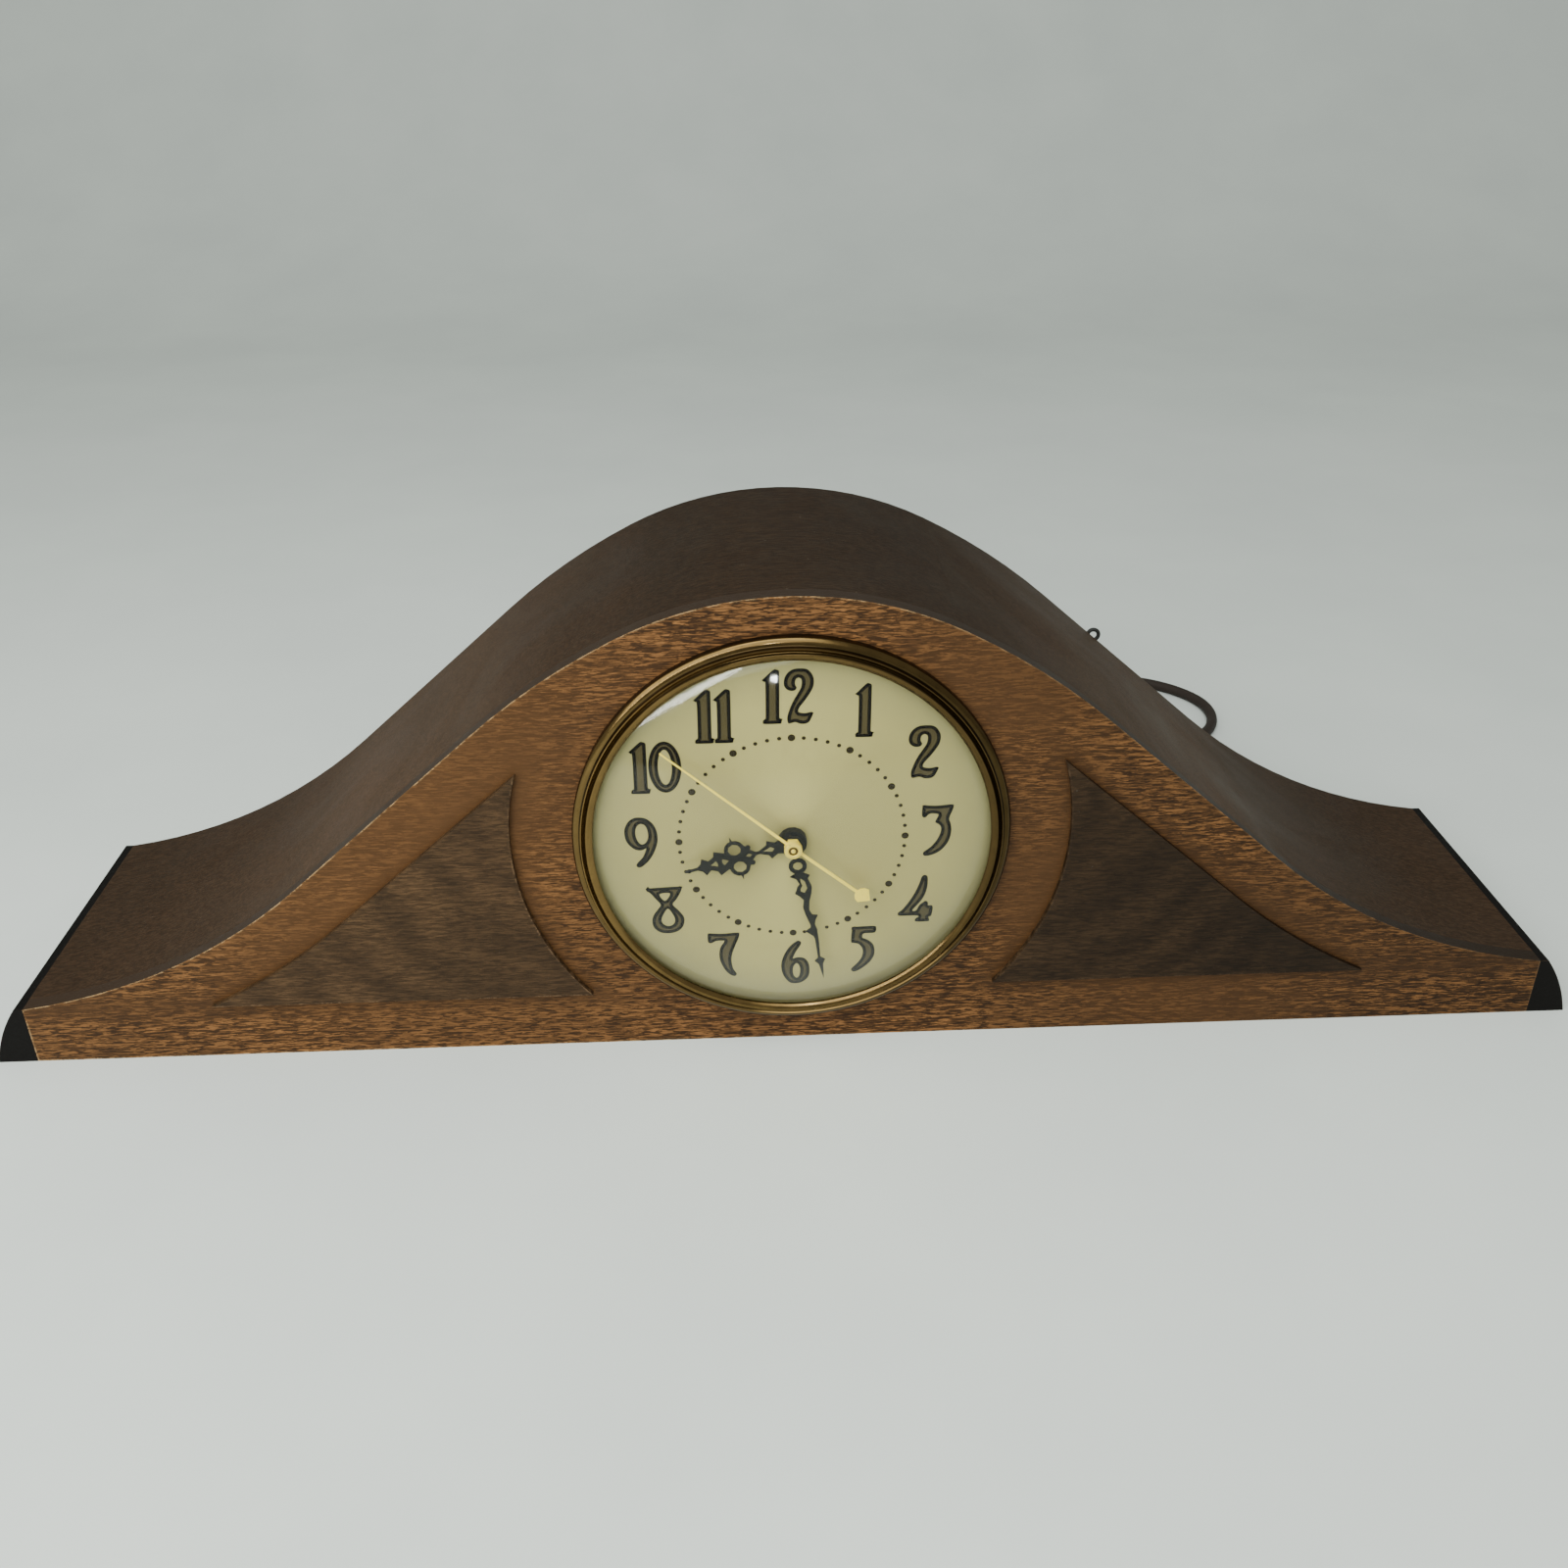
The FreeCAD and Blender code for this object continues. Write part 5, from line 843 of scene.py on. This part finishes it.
def slotted_head(bm, across, up, turn):
    """A domed screw head on the back, its slot cut right through it."""
    part = bmesh.new()
    profile = ((3.0, 0.0), (3.0, 0.55), (2.75, 1.0), (2.1, 1.35), (1.2, 1.52), (0.25, 1.58))
    steps = 40
    angles = [2 * math.pi * k / steps for k in range(steps)]
    rings = [[part.verts.new((r * math.cos(a), h, r * math.sin(a))) for a in angles] for r, h in profile]
    for a, b in zip(rings, rings[1:]):
        for k in range(steps):
            part.faces.new((a[k], a[(k + 1) % steps], b[(k + 1) % steps], b[k]))
    part.faces.new(rings[0])
    part.faces.new(rings[-1])
    bmesh.ops.bisect_plane(part, geom=part.verts[:] + part.edges[:] + part.faces[:],
                           plane_co=(0.38, 0, 0), plane_no=(1, 0, 0), clear_inner=True)
    bmesh.ops.holes_fill(part, edges=[e for e in part.edges if e.is_boundary])
    mesh = bpy.data.meshes.new("half_head")
    part.to_mesh(mesh)
    part.free()
    seat = Matrix.Translation((across * MM, PANEL_BACK * MM, up * MM))
    for side in (0, math.pi):
        before = len(bm.verts)
        bm.from_mesh(mesh)
        bm.verts.ensure_lookup_table()
        place = seat @ Matrix.Rotation(turn + side, 4, "Y")
        for v in bm.verts[before:]:
            v.co = place @ (v.co * MM)
    bpy.data.meshes.remove(mesh)
    floor = bmesh.ops.create_cube(bm, size=1.0)["verts"]
    place = seat @ Matrix.Rotation(turn, 4, "Y")
    for v in floor:
        v.co = place @ Vector((v.co.x * 0.9 * MM, (v.co.y + 0.5) * 0.7 * MM, v.co.z * 5.7 * MM))


class CLOCK_OT_details(bpy.types.Operator):
    """Slotted screws, fluted knob, moulded plug, the cord's sleeve and the second hand's boss"""
    bl_idname = "clock.details"
    bl_label = "Small details"

    def execute(self, context):
        bm = bmesh.new()
        for across, up, turn in ((-154.82, 26.5, 0.4), (-58.26, 26.5, 1.2), (58.26, 26.5, -0.3),
                                 (154.82, 26.5, 0.9), (0.0, 128.3, -0.8)):
            slotted_head(bm, across, up, turn)
        bmesh.ops.recalc_face_normals(bm, faces=bm.faces)
        screws = metal("screw_heads", colour(140, 132, 116), 0.34, 0.05, 0.5)
        keep("panel_screw_heads", to_mesh("panel_screw_heads", bm), screws, nodes=("back_panel_screws",))

        rows = []
        for y, radius, fluted in ((55.0, 4.0, 0), (55.0, 7.4, 0), (55.3, 8.2, 1), (56.0, 9.0, 1),
                                  (59.5, 9.0, 1), (62.7, 9.0, 1), (63.5, 8.3, 1), (63.9, 7.2, 0),
                                  (64.0, 6.4, 0), (63.4, 5.6, 0), (63.2, 3.0, 0), (63.2, 0.4, 0)):
            ring = []
            for k in range(144):
                a = 2 * math.pi * k / 144
                r = radius - fluted * 0.55 * abs(math.sin(12 * a)) ** 1.5
                ring.append(((KNOB_AXIS[0] + r * math.cos(a)) * MM, y * MM,
                             (KNOB_AXIS[1] + r * math.sin(a)) * MM))
            rows.append(ring)
        bakelite = painted("knob_bakelite", colour(26, 23, 22), 0.3, 220, 0.5, colour(92, 80, 70))
        keep("knob_fluted", rows_to_mesh("knob_fluted", rows), bakelite, "setting", ("set_knob",))

        shape = [(52.1, 3.1, 3.1, 2), (49.0, 3.6, 3.6, 2), (45.6, 4.2, 4.1, 2), (43.6, 6.2, 5.2, 2.4),
                 (42.2, 9.2, 6.3, 3), (40.2, 11.0, 6.8, 3.4)]
        for i in range(5):
            rib = 3.1 * i
            shape += [(38.4 - rib, 11.2, 6.9, 4), (37.2 - rib, 10.5, 6.5, 4), (36.5 - rib, 10.5, 6.5, 4)]
        shape += [(22.6, 11.6, 6.95, 4), (20.0, 12.1, 6.98, 5), (16.8, 12.1, 6.98, 5), (16.1, 11.6, 6.5, 5)]
        rows = []
        for x, wide, high, power in shape:
            middle = 8.2 if x > 46 else 7.0
            ring = []
            for k in range(48):
                a = 2 * math.pi * k / 48
                c, d = math.cos(a), math.sin(a)
                ring.append((x * MM, (PLUG_ACROSS + wide * math.copysign(abs(c) ** (2 / power), c)) * MM,
                             (middle + high * math.copysign(abs(d) ** (2 / power), d)) * MM))
            rows.append(ring)
        keep("plug_moulding", rows_to_mesh("plug_moulding", rows),
             painted("plug_rubber", colour(44, 36, 31), 0.45, 240, 0.3), nodes=("plug",))

        first, second, third = (Vector(p) for p in CORD_POINTS[:3])
        sleeve = [first, first.lerp(second, 0.5), second, second.lerp(third, 0.25),
                  second.lerp(third, 0.5)]
        keep("cord_sleeve", wire_curve("cord_sleeve", [tuple(p) for p in sleeve], 4.4 * MM,
                                       taper=(1.0, 0.95, 0.84, 0.72, 0.6)),
             painted("sleeve_rubber", colour(38, 33, 30), 0.5, 260, 0.2))

        gilt = metal("boss_gilt", colour(240, 212, 90), 0.3, 0.0, 0.15, 0.6, 0.2)
        ring = [(1.55, -0.6), (1.55, 0.3), (1.75, 0.5), (2.4, 0.52), (2.8, 0.35), (2.95, 0.0), (2.95, -0.6)]
        keep("second_boss", lathe("second_boss", ring, 64, front=SECOND_PLANE), gilt, "seconds")
        pin = [(0.05, -0.6), (0.05, 0.62), (0.5, 0.6), (0.75, 0.4), (0.8, -0.6)]
        keep("second_pin", lathe("second_pin", pin, 32, front=SECOND_PLANE), gilt, "seconds")
        # The well's dark brass paints the shade in the hole of the second hand's boss
        well = [(0.05, -0.6), (0.05, 0.08), (1.6, 0.08), (1.6, -0.6)]
        keep("second_well", lathe("second_well", well, 32, front=SECOND_PLANE),
             metal("boss_dark", colour(96, 76, 40), 0.4, 0.0, 0.4, 0.5), "seconds")
        return {"FINISHED"}


class CLOCK_PT_panel(bpy.types.Panel):
    """Lists the clock's steps in order"""
    bl_idname = "CLOCK_PT_panel"
    bl_label = "Mantel clock"
    bl_space_type = "VIEW_3D"
    bl_region_type = "UI"
    bl_category = "Clock"

    def draw(self, context):
        for step in STEPS:
            self.layout.operator(step.bl_idname)
        for group in (context.scene.clock_sizes, context.scene.clock_colours):
            for key in group.__annotations__:
                self.layout.prop(group, key)


STEPS = (CLOCK_OT_stage, CLOCK_OT_details, CLOCK_OT_cord, CLOCK_OT_finishes, CLOCK_OT_dial, CLOCK_OT_printing,
         CLOCK_OT_lever)
CLASSES = (ClockSizes, ClockColours) + STEPS + (CLOCK_PT_panel,)


def register():
    for cls in CLASSES:
        bpy.utils.register_class(cls)
    bpy.types.Scene.clock_sizes = bpy.props.PointerProperty(type=ClockSizes)
    bpy.types.Scene.clock_colours = bpy.props.PointerProperty(type=ClockColours)


def unregister():
    del bpy.types.Scene.clock_colours
    del bpy.types.Scene.clock_sizes
    for cls in reversed(CLASSES):
        bpy.utils.unregister_class(cls)


def main():
    register()
    for step in STEPS:
        area, name = step.bl_idname.split(".")
        if getattr(getattr(bpy.ops, area), name)() != {"FINISHED"}:
            raise RuntimeError("the step didn't finish: " + step.bl_idname)


if __name__ == "__main__":
    main()
